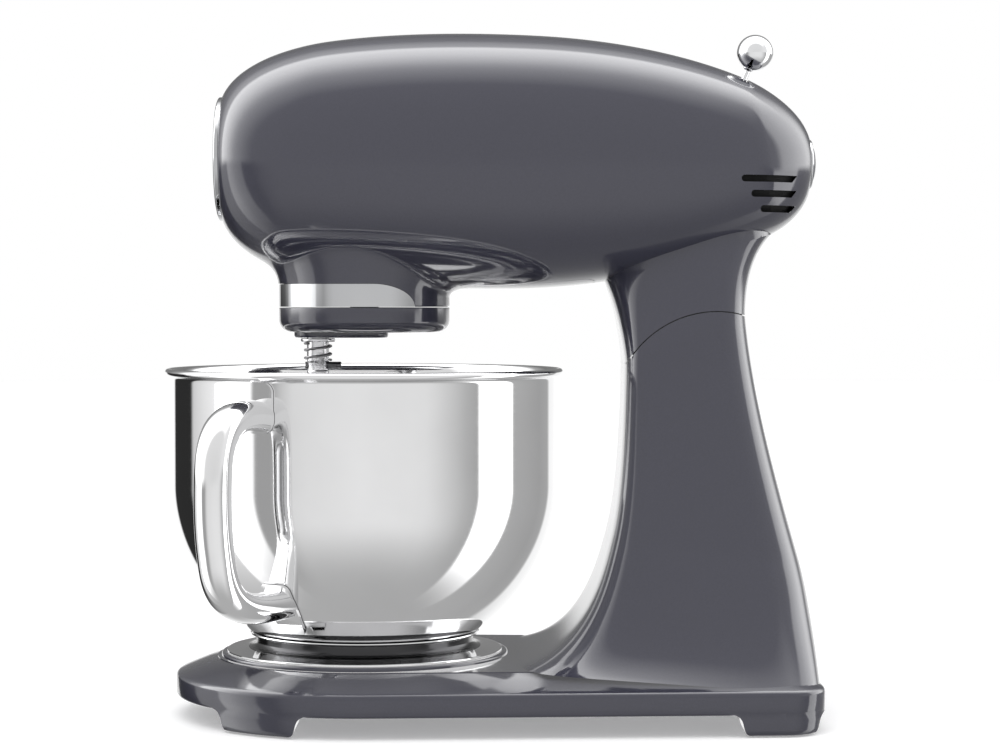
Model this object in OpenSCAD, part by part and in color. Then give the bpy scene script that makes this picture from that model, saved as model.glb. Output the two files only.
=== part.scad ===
// Tilt-head stand mixer, millimetres.
// Built about the bowl axis: x = 0, y = 0 is the bowl axis, +X runs to the rear, +Z is up, and z = 0 is
// the worktop. place() then moves every piece so that the origin is the bottom centre of the whole.

/* [Base] */
// Radius of the round front of the base, about the bowl axis
base_front_r = 105; // [98:0.5:110]
// Distance from the bowl axis to the rear face of the base
base_rear_x = 249.5; // [244:0.5:256]
// Width across the rear of the base
base_rear_w = 186; // [176:1:196]
// Radius of the two rear corners of the base
base_corner_r = 24; // [18:1:32]
// Height of the underside of the base above the worktop
base_under_z = 11.8; // [10.5:0.1:14]
// Height of the upper edge of the base's side wall
base_edge_z = 24.4; // [22:0.1:28]
// Height of the face that the bowl stands on
seat_z = 35; // [33:0.1:37]
// Wall thickness of the base and column casting
stand_wall = 4; // [3:0.1:5]
// Length of each cast foot along the side of the base
foot_l = 38; // [28:1:44]
// Width of each cast foot across the base
foot_w = 26; // [22:1:34]
// Place of the front feet's centre ahead of the bowl axis
foot_front_x = 52.5; // [47:0.5:58]
// Place of the rear feet's centre ahead of the rear face
foot_rear_inset = 25; // [22:1:30]
// Radius of the rubber pads
pad_r = 9; // [7:0.5:10]
// Height of the cast feet's face above the worktop
pad_proud = 1; // [0.8:0.1:2.5]
// Thickness of the bottom plate
bottom_plate_t = 1.5; // [1:0.1:2]

/* [Column and neck] */
// Half width of the column where it flares into the base
column_low_half_w = 90; // [84:0.5:92]
// Half width of the column at mid height
column_mid_half_w = 61; // [56:0.5:66]
// Half width of the column and neck at their seam
neck_half_w = 46; // [44:0.5:50]
// Hinge axis ahead of the rear face of the base
hinge_inset = 55.9; // [53:0.1:59]
// Hinge axis above the worktop
hinge_z = 167.9; // [164:0.1:171]
// Radius of the curved seam about the hinge axis
seam_r = 56; // [54:0.5:58]
// Gap of the seam between column and neck
seam_gap = 0.6; // [0.4:0.1:1]
// Wall thickness of the neck
neck_wall = 3.5; // [2.5:0.1:4.5]
// Radius of the hinge pin
hinge_pin_r = 6; // [5:0.25:7]

/* [Head] */
// Front face of the head ahead of the bowl axis
head_front_x = 78.5; // [74:0.5:82]
// Rear face of the head behind the bowl axis
head_rear_x = 247.8; // [243:0.5:252]
// Height of the axis of the front port
port_z = 308.9; // [306:0.1:311]
// Height of the axis of the release button
button_z = 306; // [304:0.1:308]
// Top of the head
head_top_z = 378.3; // [374:0.1:382]
// Lowest line of the head
head_low_z = 236.7; // [234:0.1:239]
// Half width of the head at its widest
head_half_w = 67.5; // [64:0.5:71]
// Wall thickness of the head shell
head_wall = 3; // [2:0.1:3.5]
// Outer radius of the front trim ring
front_ring_r = 34.5; // [33:0.5:36]
// Width of the front trim ring's face
front_ring_w = 5.5; // [4:0.5:7]
// How far the front trim ring stands out of the head
front_ring_t = 2.5; // [1.5:0.1:3.5]
// Thickness of the plate under the head
underside_t = 2.6; // [2:0.1:3]

/* [Hub] */
// Outer radius of the hub
hub_r = 47.5; // [46.5:0.1:49]
// Wall of the hub housing
hub_wall = 3.5; // [3:0.1:4]
// Underside of the carrier's drum
hub_low_z = 212.7; // [211:0.1:214]
// Seam between the carrier and the trim band
hub_seam_z = 226.5; // [225:0.1:227.5]
// Upper edge of the trim band
band_top_z = 239.2; // [237:0.1:240]
// Radius of the carrier's lower edge
hub_edge_r = 11; // [8:0.5:12]
// Running gap at the seam above the carrier
hub_gap = 0.5; // [0.4:0.1:0.8]
// Offset of the tool shaft from the bowl axis
tool_offset = 26; // [26:0.1:26.4]
// Radius of the carrier's arm round the tool shaft
arm_r = 13.3; // [12:0.1:14]
// Depth of the carrier's arm below the drum
arm_drop = 3.2; // [2.5:0.1:5]

/* [Tool shaft] */
// Radius of the tool shaft
tool_r = 6.2; // [5.5:0.1:6.6]
// Height of the tool shaft's lower end
tool_end_z = 178; // [174:1:182]
// Height of the cross pin that locks a tool
cross_pin_z = 194; // [192:0.5:196]
// Radius of the cross pin
cross_pin_r = 2; // [1.5:0.1:2.5]
// Reach of the cross pin from the shaft's axis
cross_pin_reach = 13; // [11:0.5:15]

/* [Gears] */
// Tooth module of the ring, planet and motor stage
fine_mod = 1; // [0.98:0.01:1.02]
// Tooth module of the main gear's stage
coarse_mod = 1.25; // [1.22:0.01:1.27]
// Face width of the gears
gear_face = 7; // [6:0.5:8]
// Radius of the main shaft
main_shaft_r = 8; // [7:0.5:9]

/* [Motor] */
// Half side of the square field stack
field_half = 35; // [33:0.5:36]
// Radius of the armature
armature_r = 19.2; // [17:0.1:21]
// Air gap between armature and field
air_gap = 0.8; // [0.5:0.1:1.2]
// Room above the motor's upper bracket, up to the top of the head
motor_room = 28.8; // [26:0.2:31]
// Radius of the motor shaft
rotor_shaft_r = 4; // [3.5:0.1:4.5]
// Radius of the cooling fan
fan_r = 26; // [22:0.5:28]

/* [Bowl] */
// How far the bowl's rolled rim stands out from its wall
rim_out = 4.3; // [3:0.1:5.5]
// Height of the rim
rim_z = 192.5; // [188:0.5:194]
// Outer radius of the bowl's straight wall
bowl_r = 106.6; // [104:0.1:108]
// Height at which the straight wall begins
bowl_bend_z = 128; // [120:1:134]
// Sheet thickness of the bowl
bowl_t = 1.2; // [1:0.1:1.6]
// Outer radius of the bowl's flared foot
bowl_foot_r = 76.8; // [74:0.1:79]
// Radius of the neck between bowl and foot
bowl_neck_r = 57.6; // [56:0.1:59]
// How far the handle stands out from the bowl's wall
handle_out = 51.4; // [47:0.2:55]
// Width of the handle's grip
handle_w = 19; // [16:0.5:21]
// Thickness of the handle's grip
handle_t = 17; // [14:0.5:18.5]
// Direction of the handle, turned forwards from straight sideways
handle_turn = 28.3; // [20:0.1:35]

/* [Controls] */
// Lean of the speed lever from upright, to the rear
lever_lean = 22.7; // [20:0.1:25]
// Radius of the speed lever's ball
knob_r = 10; // [8:0.5:10.5]
// Centre of the speed lever's ball behind the bowl axis
knob_x = 217.8; // [216:0.1:219]
// Centre of the speed lever's ball below the top of the head
knob_drop = 10.2; // [9.5:0.1:11]
// Distance from the lever's pivot to the ball's centre
lever_len = 52; // [50:0.5:54]
// Radius of the lever's stem
stem_r = 1.6; // [1.2:0.1:2.2]
// Swing of the lever to each side, in degrees
lever_swing = 30; // [20:1:32]
// Outer radius of the release button's bezel
bezel_r = 13.6; // [13:0.1:14.2]
// How far the release button stands out of the bezel
button_dome = 2.3; // [1.5:0.1:3]
// Height of one vent slot
vent_h = 3.7; // [3:0.1:4.5]
// Pitch of the vent slots
vent_pitch = 8.1; // [7:0.1:9]
// Height of the middle vent slot
vent_z = 288.3; // [287:0.1:290]

/* [Clearances] */
// Radial clearance of a shaft that turns in its bearing
run_gap = 0.05; // [0.02:0.01:0.1]
// Gap between pieces that are fixed to each other
fit_gap = 0.15; // [0.1:0.05:0.25]
// Gap between pieces that move past each other
move_gap = 0.6; // [0.4:0.1:1]

/* [Hidden] */
$fn = 64;

paint = [0.30, 0.30, 0.34];
steel = [0.78, 0.78, 0.80];
alloy = [0.66, 0.67, 0.69];
black = [0.08, 0.08, 0.09];
copper = [0.72, 0.42, 0.20];
tiny = 0.01;

hinge_x = base_rear_x - hinge_inset;
rim_r = bowl_r + rim_out;
handle_reach = bowl_r + handle_out;
knob_z = head_top_z - knob_drop;

// Height of the button's bezel and of the cord gland's lip above the faces they sit on
bezel_t = 1.4;
gland_lip_t = 1.6;

// The whole reaches from the bowl's rim or the base to the button, and from the handle to the rim
front_reach = max(rim_r, base_front_r);
rear_reach = max(head_rear_x + bezel_t + button_dome, base_rear_x + gland_lip_t);
handle_mid = handle_reach - handle_t / 2;
handle_side_reach = (handle_mid + 0.7) * cos(handle_turn)
    + 1.045 * norm([handle_t / 2 * cos(handle_turn), handle_w / 2 * sin(handle_turn)]);
origin_x = (rear_reach - front_reach) / 2;
origin_y = (rim_r - handle_side_reach) / 2;

module place() {
    translate([-origin_x, -origin_y, 0]) children();
}

// ---- Curves and lofted surfaces ----

function bez(p, t) =
    pow(1 - t, 3) * p[0] + 3 * pow(1 - t, 2) * t * p[1] + 3 * (1 - t) * t * t * p[2] + t * t * t * p[3];

// Point at t, from 0 to 1, on a chain of cubic pieces
function chain(pieces, t) =
    let (n = len(pieces), i = max(0, min(floor(t * n), n - 1)))
    bez(pieces[i], t * n - i);

function signed_pow(v, e) = sign(v) * pow(abs(v), e);

// Closed ring across the XZ plane, between an upper and a lower point of the side outline
function ring(upper, lower, half_w, n, inset, count) =
    let (
        c = (upper + lower) / 2,
        h = norm(upper - lower) / 2,
        u = (upper - lower) / (2 * h)
    )
    [for (i = [0 : count - 1])
        let (
            a = 360 * i / count,
            up = (h - inset) * signed_pow(cos(a), 2 / n),
            side = (half_w - inset) * signed_pow(sin(a), 2 / n)
        )
        [c[0] + u[0] * up, side, c[1] + u[1] * up]];

// Which way a ring turns about the direction that a loft runs in
function middle(points) = [for (k = [0 : 2]) sum([for (p = points) p[k]]) / len(points)];
function sum(list, i = 0) = i < len(list) ? list[i] + sum(list, i + 1) : 0;
function turn(points) = let (n = len(points), c = middle(points))
    [for (k = [0 : 2]) sum([for (i = [0 : n - 1]) cross(points[i] - c, points[(i + 1) % n] - c)[k]])];
function backward(list) = [for (i = [len(list) - 1 : -1 : 0]) list[i]];

// Solid through a list of rings that all have the same number of points
module loft(given) {
    ahead = turn(given[0]) * (middle(given[1]) - middle(given[0])) > 0;
    rings = ahead ? [for (r = given) backward(r)] : given;
    n = len(rings[0]);
    m = len(rings);
    polyhedron(
        points = [for (r = rings) each r],
        faces = concat(
            [[for (i = [n - 1 : -1 : 0]) i]],
            [for (k = [0 : m - 2], i = [0 : n - 1])
                let (j = (i + 1) % n)
                each [[k * n + i, k * n + j, (k + 1) * n + j], [k * n + i, (k + 1) * n + j, (k + 1) * n + i]]],
            [[for (i = [0 : n - 1]) (m - 1) * n + i]]
        )
    );
}

// ---- Head outline ----

port_half = front_ring_r - 0.1;
tail_half = bezel_r + 1;
head_top_line = [
    [[-head_front_x, port_z + port_half], [-head_front_x + 3.5, port_z + port_half + 9],
        [-62, head_top_z - 12.3], [-24.6, head_top_z - 5.3]],
    [[-24.6, head_top_z - 5.3], [10, head_top_z], [55, head_top_z + 0.9], [100, head_top_z - 1.6]],
    [[100, head_top_z - 1.6], [140, head_top_z - 3.9], [180, head_top_z - 11.8],
        [head_rear_x - 37.5, head_top_z - 24.3]],
    [[head_rear_x - 37.5, head_top_z - 24.3], [head_rear_x - 21.8, head_top_z - 30.8],
        [head_rear_x - 4, button_z + 29], [head_rear_x, button_z + tail_half]]
];
head_low_line = [
    [[-head_front_x, port_z - port_half], [-head_front_x + 2.5, port_z - port_half - 10],
        [-64, head_low_z + 17.8], [-50, head_low_z + 12.3]],
    [[-50, head_low_z + 12.3], [-20, head_low_z + 2.3], [40, head_low_z - 0.5], [85, head_low_z]],
    [[85, head_low_z], [130, head_low_z + 0.7], [185, head_low_z + 10.3], [head_rear_x - 21.2, head_low_z + 30.2]],
    [[head_rear_x - 21.2, head_low_z + 30.2], [head_rear_x - 9.8, head_low_z + 35.8],
        [head_rear_x - 1.3, button_z - 24], [head_rear_x, button_z - tail_half]]
];
head_side_line = [
    [port_half, port_half + 11, head_half_w - 13, head_half_w - 7],
    [head_half_w - 7, head_half_w - 1, head_half_w + 0.5, head_half_w - 1.5],
    [head_half_w - 1.5, head_half_w - 4.5, head_half_w - 11.5, head_half_w - 23.5],
    [head_half_w - 23.5, head_half_w - 31.5, tail_half + 9, tail_half]
];
head_steps = 32;
head_sides = 40;

function head_ring(t, inset, count) =
    ring(chain(head_top_line, t), chain(head_low_line, t), chain(head_side_line, t),
        2 + 0.45 * sin(180 * t), inset, count);

function shifted(points, dx) = [for (p = points) p + [dx, 0, 0]];

module head_solid() {
    loft([for (i = [0 : head_steps]) head_ring(i / head_steps, 0, head_sides)]);
}

// The space inside the head; it runs out through the round openings at both ends
module head_space(inset, count = 30, steps = 20) {
    loft(concat(
        [shifted(head_ring(0, inset, count), -1)],
        [for (i = [0 : steps]) head_ring(i / steps, inset, count)],
        [shifted(head_ring(1, inset, count), 1)]
    ));
}

// ---- Column and neck outline, from the base up into the head ----

seam_front = [hinge_x - 49.3, hinge_z + 29.1];
seam_rear = [hinge_x + 17.2, hinge_z + 54.1];
column_front_line = [
    [[87, seat_z - 1.5], [121, seat_z + 6], [seam_front[0] - 13.8, seat_z + 42], [seam_front[0] - 8, seat_z + 65]],
    [[seam_front[0] - 8, seat_z + 65], [seam_front[0] - 2.2, seat_z + 88], [seam_front[0] - 0.8, seam_front[1] - 37],
        seam_front],
    [seam_front, [seam_front[0] - 1.4, seam_front[1] + 14], [seam_front[0] - 4.8, seam_front[1] + 31],
        [seam_front[0] - 10.7, head_low_z + 5.3]]
];
column_rear_line = [
    [[base_rear_x - 1.2, base_edge_z - 2], [base_rear_x - 1.2, base_edge_z + 22],
        [base_rear_x - 4.2, base_edge_z + 45], [base_rear_x - 9.6, base_edge_z + 65]],
    [[base_rear_x - 9.6, base_edge_z + 65], [base_rear_x - 22.5, base_edge_z + 110],
        [seam_rear[0] + 3.8, seam_rear[1] - 42], seam_rear],
    [seam_rear, [seam_rear[0] + 0.7, seam_rear[1] + 16], [seam_rear[0] + 3.7, head_low_z + 18.3],
        [seam_rear[0] + 15.8, head_low_z + 30.3]]
];
column_side_line = [
    [column_low_half_w, column_low_half_w - 16, column_mid_half_w + 7, column_mid_half_w],
    [column_mid_half_w, column_mid_half_w - 6, neck_half_w + 2, neck_half_w],
    [neck_half_w, neck_half_w - 2, neck_half_w - 5, neck_half_w - 8]
];
// Squareness of the sections: nearly square below, rounder where the neck meets the head
column_corner_line = [[4.4, 4.2, 4.1, 4], [4, 4, 3.9, 3.8], [3.8, 3.4, 2.9, 2.5]];
column_sides = 36;

function column_ring(t, inset) =
    ring(chain(column_rear_line, t), chain(column_front_line, t), chain(column_side_line, t),
        chain(column_corner_line, t), inset, column_sides);

module column_loft(from, to, steps, inset) {
    loft([for (i = [0 : steps]) column_ring(from + (to - from) * i / steps, inset)]);
}

// The neck runs on above its last section, straight up into the head
module neck_loft(inset, from = 0.6, steps = 8, rise = 22) {
    loft(concat(
        [for (i = [0 : steps]) column_ring(from + (1 - from) * i / steps, inset)],
        [[for (p = column_ring(1, inset)) p + [-4, 0, rise]]]
    ));
}

module along_y(x, z, r, y0, y1) {
    translate([x, y0, z]) rotate([-90, 0, 0]) cylinder(r = r, h = y1 - y0);
}

module along_x(x0, x1, y, z, r) {
    translate([x0, y, z]) rotate([0, 90, 0]) cylinder(r = r, h = x1 - x0);
}

module disc(z0, z1, r, x = 0, y = 0) {
    translate([x, y, z0]) cylinder(r = r, h = z1 - z0);
}

// A side outline, given as [x, z] points, as a plate from y0 to y1
module side_plate(y0, y1) {
    translate([0, y1, 0]) rotate([90, 0, 0]) linear_extrude(y1 - y0) children();
}

module block(low, high) {
    translate(low) cube(high - low);
}

// ---- Base ----

corner_at = [base_rear_x - base_corner_r, base_rear_w / 2 - base_corner_r];
side_lean = atan2(corner_at[1], corner_at[0])
    + acos((base_front_r - base_corner_r) / norm(corner_at));

function arc(c, r, from, to, steps) =
    [for (i = [0 : steps]) let (a = from + (to - from) * i / steps) c + r * [cos(a), sin(a)]];

// Plan outline of the base, moved in by inset
function base_outline(inset) = concat(
    arc([0, 0], base_front_r - inset, side_lean, 360 - side_lean, 28),
    arc([corner_at[0], -corner_at[1]], base_corner_r - inset, -side_lean, 0, 5),
    arc(corner_at, base_corner_r - inset, 0, side_lean, 5)
);

function base_ring(z, inset) = [for (p = base_outline(min(inset, base_corner_r - 1))) [p[0], p[1], z]];

// Distance in from the edge, and the share of the rise from the side wall to the seat
dome_rise = seat_z - base_edge_z;
dome = [[0, 0], [0.8, 0.13], [3.0, 0.29], [9, 0.55], [17, 0.86]];

module base_solid() {
    loft(concat(
        [base_ring(base_under_z, 1.5), base_ring(base_under_z + 1.5, 0)],
        [for (d = dome) base_ring(base_edge_z - 1 + dome_rise * d[1], d[0])]
    ));
    // Round land that the bowl stands on
    disc(base_under_z + 2, seat_z, bowl_foot_r + 3);
}

module base_space() {
    loft([
        base_ring(base_under_z - 1, stand_wall),
        base_ring(base_edge_z - stand_wall, stand_wall),
        base_ring(base_edge_z + dome_rise * 0.5 - stand_wall, stand_wall + 9)
    ]);
}

foot_in_y = [base_front_r - 6 - foot_w, base_rear_w / 2 - 2 - foot_w];
foot_x = [-foot_front_x, base_rear_x - foot_rear_inset];

// Cast feet: they narrow towards the worktop and follow the edge of the base
module cast_feet() {
    intersection() {
        translate([0, 0, pad_proud]) linear_extrude(base_under_z + stand_wall - pad_proud)
            polygon(base_outline(0.6));
        for (i = [0, 1], side = [-1, 1]) {
            y = foot_in_y[i] - (i == 0 ? 14 : 0);
            side_plate(side > 0 ? y : -base_front_r, side > 0 ? base_front_r : -y)
                polygon([
                    [foot_x[i] - foot_l / 2, pad_proud],
                    [foot_x[i] + foot_l / 2, pad_proud],
                    [foot_x[i] + foot_l / 2 + 5, base_under_z - 1],
                    [foot_x[i] + foot_l / 2 + 9, base_under_z + stand_wall],
                    [foot_x[i] - foot_l / 2 - 9, base_under_z + stand_wall],
                    [foot_x[i] - foot_l / 2 - 5, base_under_z - 1]
                ]);
        }
    }
}

// Middle of each rubber pad
pad_at = [for (i = [0, 1], side = [-1, 1])
    [foot_x[i], side * (foot_in_y[i] + (i == 0 ? -1 : 11))]];
pad_sink = 1.6;

gland_r = 7;
gland_z = base_under_z + 13;

// Height of the column's flat cut ahead of the curved seam
column_cut_z = seam_front[1] - 1.5;

module stand_casting() {
    color(paint) difference() {
        union() {
            base_solid();
            intersection() {
                column_loft(0, 0.9, 22, 0);
                union() {
                    block([0, -120, 0], [base_rear_x + 20, 120, column_cut_z]);
                    along_y(hinge_x, hinge_z, seam_r, -120, 120);
                }
            }
            cast_feet();
        }
        difference() {
            base_space();
            cast_feet();
        }
        intersection() {
            column_loft(0.02, 0.9, 14, stand_wall);
            union() {
                block([0, -120, 0], [base_rear_x + 20, 120, hinge_z]);
                along_y(hinge_x, hinge_z, seam_r - stand_wall, -120, 120);
            }
        }
        swept_slot(slot_from, slot_to, seam_r - stand_wall - 3, seam_r + 5, slot_half_w);
        for (p = pad_at) disc(0, pad_proud + pad_sink, pad_r + fit_gap, p[0], p[1]);
        for (p = seat_screw_at) disc(seat_z - 12, seat_z + 1, screw_r + fit_gap, p[0], p[1]);
        along_x(base_rear_x - 12, base_rear_x + 2, 0, gland_z, gland_r);
    }
}

// Sector about the hinge axis, with angles from upright, positive to the rear
module swept_slot(from, to, r0, r1, half_w) {
    steps = 8;
    side_plate(-half_w, half_w)
        polygon([for (p = concat(
            [for (i = [0 : steps]) r0 * [sin(from + (to - from) * i / steps), cos(from + (to - from) * i / steps)]],
            [for (i = [steps : -1 : 0]) r1 * [sin(from + (to - from) * i / steps), cos(from + (to - from) * i / steps)]]
        )) [hinge_x + p[0], hinge_z + p[1]]]);
}

module base_bottom_plate() {
    z = base_under_z + stand_wall + 0.2;
    color(steel) difference() {
        translate([0, 0, z]) linear_extrude(bottom_plate_t) polygon(base_outline(stand_wall + 0.5));
        for (p = base_screw_at) disc(z - 1, z + bottom_plate_t + 1, screw_r + fit_gap, p[0], p[1]);
    }
}

screw_r = 2;
base_screw_at = [for (i = [0, 1], side = [-1, 1]) [foot_x[i] + 14, side * (foot_in_y[i] + 3)]];

// Screws that hold the bottom plate down on the tops of the cast feet
module base_screws() {
    z = base_under_z + stand_wall + 0.2 + bottom_plate_t;
    color(steel) for (p = base_screw_at) {
        disc(z + 0.05, z + 2.2, 3.6, p[0], p[1]);
        disc(z - bottom_plate_t - 0.1, z + 0.05, screw_r, p[0], p[1]);
    }
}

module rubber_feet() {
    color(black) for (p = pad_at) disc(0, pad_proud + pad_sink - 0.05, pad_r, p[0], p[1]);
}

module cord_gland() {
    color(black) difference() {
        union() {
            along_x(base_rear_x - 9, base_rear_x + 0.3, 0, gland_z, gland_r - fit_gap);
            along_x(base_rear_x + 0.1, base_rear_x + gland_lip_t, 0, gland_z, gland_r + 2);
        }
        along_x(base_rear_x - 10, base_rear_x + gland_lip_t + 1, 0, gland_z, 3.75);
    }
}

// ---- Bowl seat ----

lug_count = 3;
lug_half = 14;
twist = 30;
seat_boss_r = 44;
lug_r = 52;
flange_z = seat_z + 1.2;
flange_t = 1.5;
lug_z = flange_z + flange_t + 0.9;
lug_t = 1.8;
seat_screw_at = [for (i = [0 : 2]) 28 * [cos(120 * i + 60), sin(120 * i + 60)]];

module sector(r, half, z0, z1) {
    translate([0, 0, z0]) linear_extrude(z1 - z0)
        polygon(concat([[0, 0]], arc([0, 0], r, -half, half, 6)));
}

module bowl_seat_plate() {
    color(steel) difference() {
        union() {
            disc(seat_z + 0.02, lug_z + lug_t, seat_boss_r);
            intersection() {
                disc(lug_z, lug_z + lug_t, lug_r);
                for (i = [0 : lug_count - 1]) rotate(i * 360 / lug_count)
                    sector(lug_r + 20, lug_half, lug_z, lug_z + lug_t);
            }
        }
        disc(seat_z - 1, lug_z + lug_t + 1, 12);
        for (p = seat_screw_at) disc(seat_z - 1, lug_z + lug_t + 1, screw_r + fit_gap, p[0], p[1]);
    }
}

module seat_screws() {
    color(steel) for (p = seat_screw_at) {
        disc(seat_z - 10, lug_z + lug_t + 0.05, screw_r, p[0], p[1]);
        disc(lug_z + lug_t + 0.05, lug_z + lug_t + 1.6, 3.8, p[0], p[1]);
    }
}

// ---- Tilt hinge ----

arm_from = -50;
arm_to = -31;
tilt = 45;
slot_from = arm_from - 1.8;
slot_to = min(arm_to + tilt + 2.5, 17);
slot_half_w = 28;
knuckle_r = 15;
knuckle_half = 28;
cheek_gap = 0.5;
cheek_t = 5;
bracket_floor_z = hinge_z - 44;

// Inner half width of the column at the hinge, taken a little in
column_in_half = neck_half_w - stand_wall - 1;

module hinge_bracket() {
    y0 = knuckle_half + cheek_gap;
    stud_a = arm_from - 3.5;
    color(alloy) difference() {
        union() {
            for (side = [-1, 1]) side_plate(side > 0 ? y0 : -y0 - cheek_t, side > 0 ? y0 + cheek_t : -y0) {
                translate([hinge_x, hinge_z]) circle(r = 17);
                polygon([
                    [hinge_x - 34, bracket_floor_z], [hinge_x + 22, bracket_floor_z],
                    [hinge_x + 17, hinge_z], [hinge_x - 17, hinge_z]
                ]);
            }
            block([hinge_x - 34, -column_in_half + 0.5, bracket_floor_z - 6],
                [hinge_x + 22, column_in_half - 0.5, bracket_floor_z]);
            // Stud that the latch catches
            along_y(hinge_x + 44 * sin(stud_a), hinge_z + 44 * cos(stud_a), 3, 18, y0 + cheek_t);
            side_plate(y0, y0 + cheek_t) polygon([
                [hinge_x - 12, hinge_z + 10], [hinge_x - 15, hinge_z - 6],
                [hinge_x + 47 * sin(stud_a - 4), hinge_z + 47 * cos(stud_a - 4) - 5],
                [hinge_x + 47 * sin(stud_a + 4), hinge_z + 47 * cos(stud_a + 4)]
            ]);
        }
        along_y(hinge_x, hinge_z, hinge_pin_r + run_gap, -60, 60);
        for (p = bracket_bolt_at) disc(bracket_floor_z - 8, bracket_floor_z + 1, 3 + fit_gap, p[0], p[1]);
    }
}

bracket_bolt_at = [for (x = [hinge_x - 26, hinge_x + 14], y = [-16, 16]) [x, y]];

module bracket_bolts() {
    color(steel) for (p = bracket_bolt_at) {
        disc(bracket_floor_z - 14, bracket_floor_z + 0.05, 3, p[0], p[1]);
        translate([p[0], p[1], bracket_floor_z + 0.05]) cylinder(r = 5.5, h = 4, $fn = 6);
    }
}

pin_half = knuckle_half + cheek_gap + cheek_t + 3;

module hinge_pin() {
    color(steel) difference() {
        along_y(hinge_x, hinge_z, hinge_pin_r, -pin_half, pin_half);
        for (side = [-1, 1]) circlip_ring(side, hinge_pin_r - 0.8, hinge_pin_r + 2, 1.2);
    }
}

// Ring in the groove near each end of the hinge pin
module circlip_ring(side, r0, r1, t) {
    y = knuckle_half + cheek_gap + cheek_t + 0.2;
    difference() {
        along_y(hinge_x, hinge_z, r1, side > 0 ? y : -y - t, side > 0 ? y + t : -y);
        along_y(hinge_x, hinge_z, r0, -60, 60);
    }
}

module pin_circlips() {
    color(steel) for (side = [-1, 1])
        translate([0, side * 0.1, 0]) circlip_ring(side, hinge_pin_r - 0.7, hinge_pin_r + 2.5, 1);
}

module hinge_arm() {
    r = seam_r + 2;
    top = frame_z - 0.2;
    color(alloy) difference() {
        union() {
            along_y(hinge_x, hinge_z, knuckle_r, -knuckle_half, knuckle_half);
            side_plate(-16, 16) polygon([
                [hinge_x, hinge_z],
                [hinge_x + r * sin(arm_from), hinge_z + r * cos(arm_from)],
                [hinge_x + r * sin(arm_from) + 1, hinge_z + r * cos(arm_from) + 22],
                [hinge_x - 43, top], [hinge_x + 1, top], [hinge_x + 1, top - 8],
                [hinge_x - 17, hinge_z + 68],
                [hinge_x + r * sin(arm_to), hinge_z + r * cos(arm_to)]
            ]);
            // Stud that the latch lever turns on
            along_y(latch_x, latch_z, 3, 15, 29);
        }
        along_y(hinge_x, hinge_z, hinge_pin_r + run_gap, -60, 60);
        for (p = frame_screw_at) disc(top - 30, top + 1, screw_r + fit_gap, p[0], p[1]);
    }
}

frame_screw_at = [for (x = [hinge_x - 12, hinge_x - 36], y = [-9, 9]) [x, y]];

module frame_screws() {
    color(steel) for (p = frame_screw_at) {
        disc(frame_z - 7, frame_z + frame_t + 0.05, screw_r, p[0], p[1]);
        disc(frame_z + frame_t + 0.05, frame_z + frame_t + 2.4, 3.6, p[0], p[1]);
    }
}

// ---- Shells of the head ----

hub_hole_r = hub_r + fit_gap;
cover_x = [hub_r + 6, hinge_x - 66];
cover_half_w = 24;

module cover_plan(grow) {
    x0 = cover_x[0] + 10 - grow;
    x1 = cover_x[1] - 10 + grow;
    offset(r = 8, $fn = 32) offset(delta = -8)
        translate([x0 - 10, -cover_half_w - grow]) square([x1 - x0 + 20, 2 * (cover_half_w + grow)]);
}

// Stem direction of the speed lever in the XZ plane, and its pivot
stem_dir = [sin(lever_lean), cos(lever_lean)];
lever_at = [knob_x - lever_len * stem_dir[0], knob_z - lever_len * stem_dir[1]];

// Draws in the lever's own frame: pivot at the origin, stem along +Z, swing axis along +X
module lever_frame() {
    translate([lever_at[0], 0, lever_at[1]]) rotate([0, lever_lean, 0]) children();
}

module vent_slot(i, side, grow) {
    z = vent_z + i * vent_pitch;
    x0 = 213.7 - i * 5.6;
    h = vent_h / 2 + grow;
    side_plate(side > 0 ? 8 : -70, side > 0 ? 70 : -8) {
        translate([x0, z]) circle(r = h);
        polygon([[x0, z - h], [head_rear_x - 12.5 + grow, z - h], [head_rear_x - 9.5 + grow, z + h], [x0, z + h]]);
    }
}

module head_shell() {
    color(paint) difference() {
        head_solid();
        head_space(head_wall);
        disc(head_low_z - 10, gear_z + 12, hub_hole_r);
        translate([0, 0, head_low_z - 8]) linear_extrude(22) cover_plan(fit_gap);
        neck_loft(neck_wall - 0.5);
        lever_frame() rotate([90, 0, 90]) linear_extrude(2 * (stem_r + move_gap), center = true)
            polygon(concat([[0, 0]], arc([0, 0], 58, 90 - lever_swing - 4, 90 + lever_swing + 4, 8)));
        for (i = [-1 : 1], side = [-1, 1]) vent_slot(i, side, 0);
    }
}

module head_underside_cover() {
    color(paint) difference() {
        intersection() {
            head_solid();
            translate([0, 0, head_low_z - 8]) linear_extrude(20) cover_plan(0);
        }
        head_space(underside_t);
    }
}

module vent_grilles() {
    color(black) difference() {
        intersection() {
            head_space(head_wall + 0.3, 30, 20);
            union() for (side = [-1, 1])
                side_plate(side > 0 ? 8 : -70, side > 0 ? 70 : -8) polygon([
                    [205, vent_z + 11.5], [214, vent_z - 11.5],
                    [head_rear_x - 14, vent_z - 11.5], [head_rear_x - 8, vent_z + 11.5]
                ]);
        }
        head_space(head_wall + 1.8, 30, 20);
    }
}

module neck_casting() {
    color(paint) difference() {
        neck_loft(0);
        neck_loft(neck_wall, 0.55);
        along_y(hinge_x, hinge_z, seam_r + seam_gap, -80, 80);
        block([hinge_x - 60, -80, hinge_z - 40], [hinge_x + 60, 80, column_cut_z + seam_gap]);
        head_solid();
    }
}

// ---- Hub ----

band_end_x = 29.3;
band_bend_x = 6.9;
band_t = 1.7;

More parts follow.
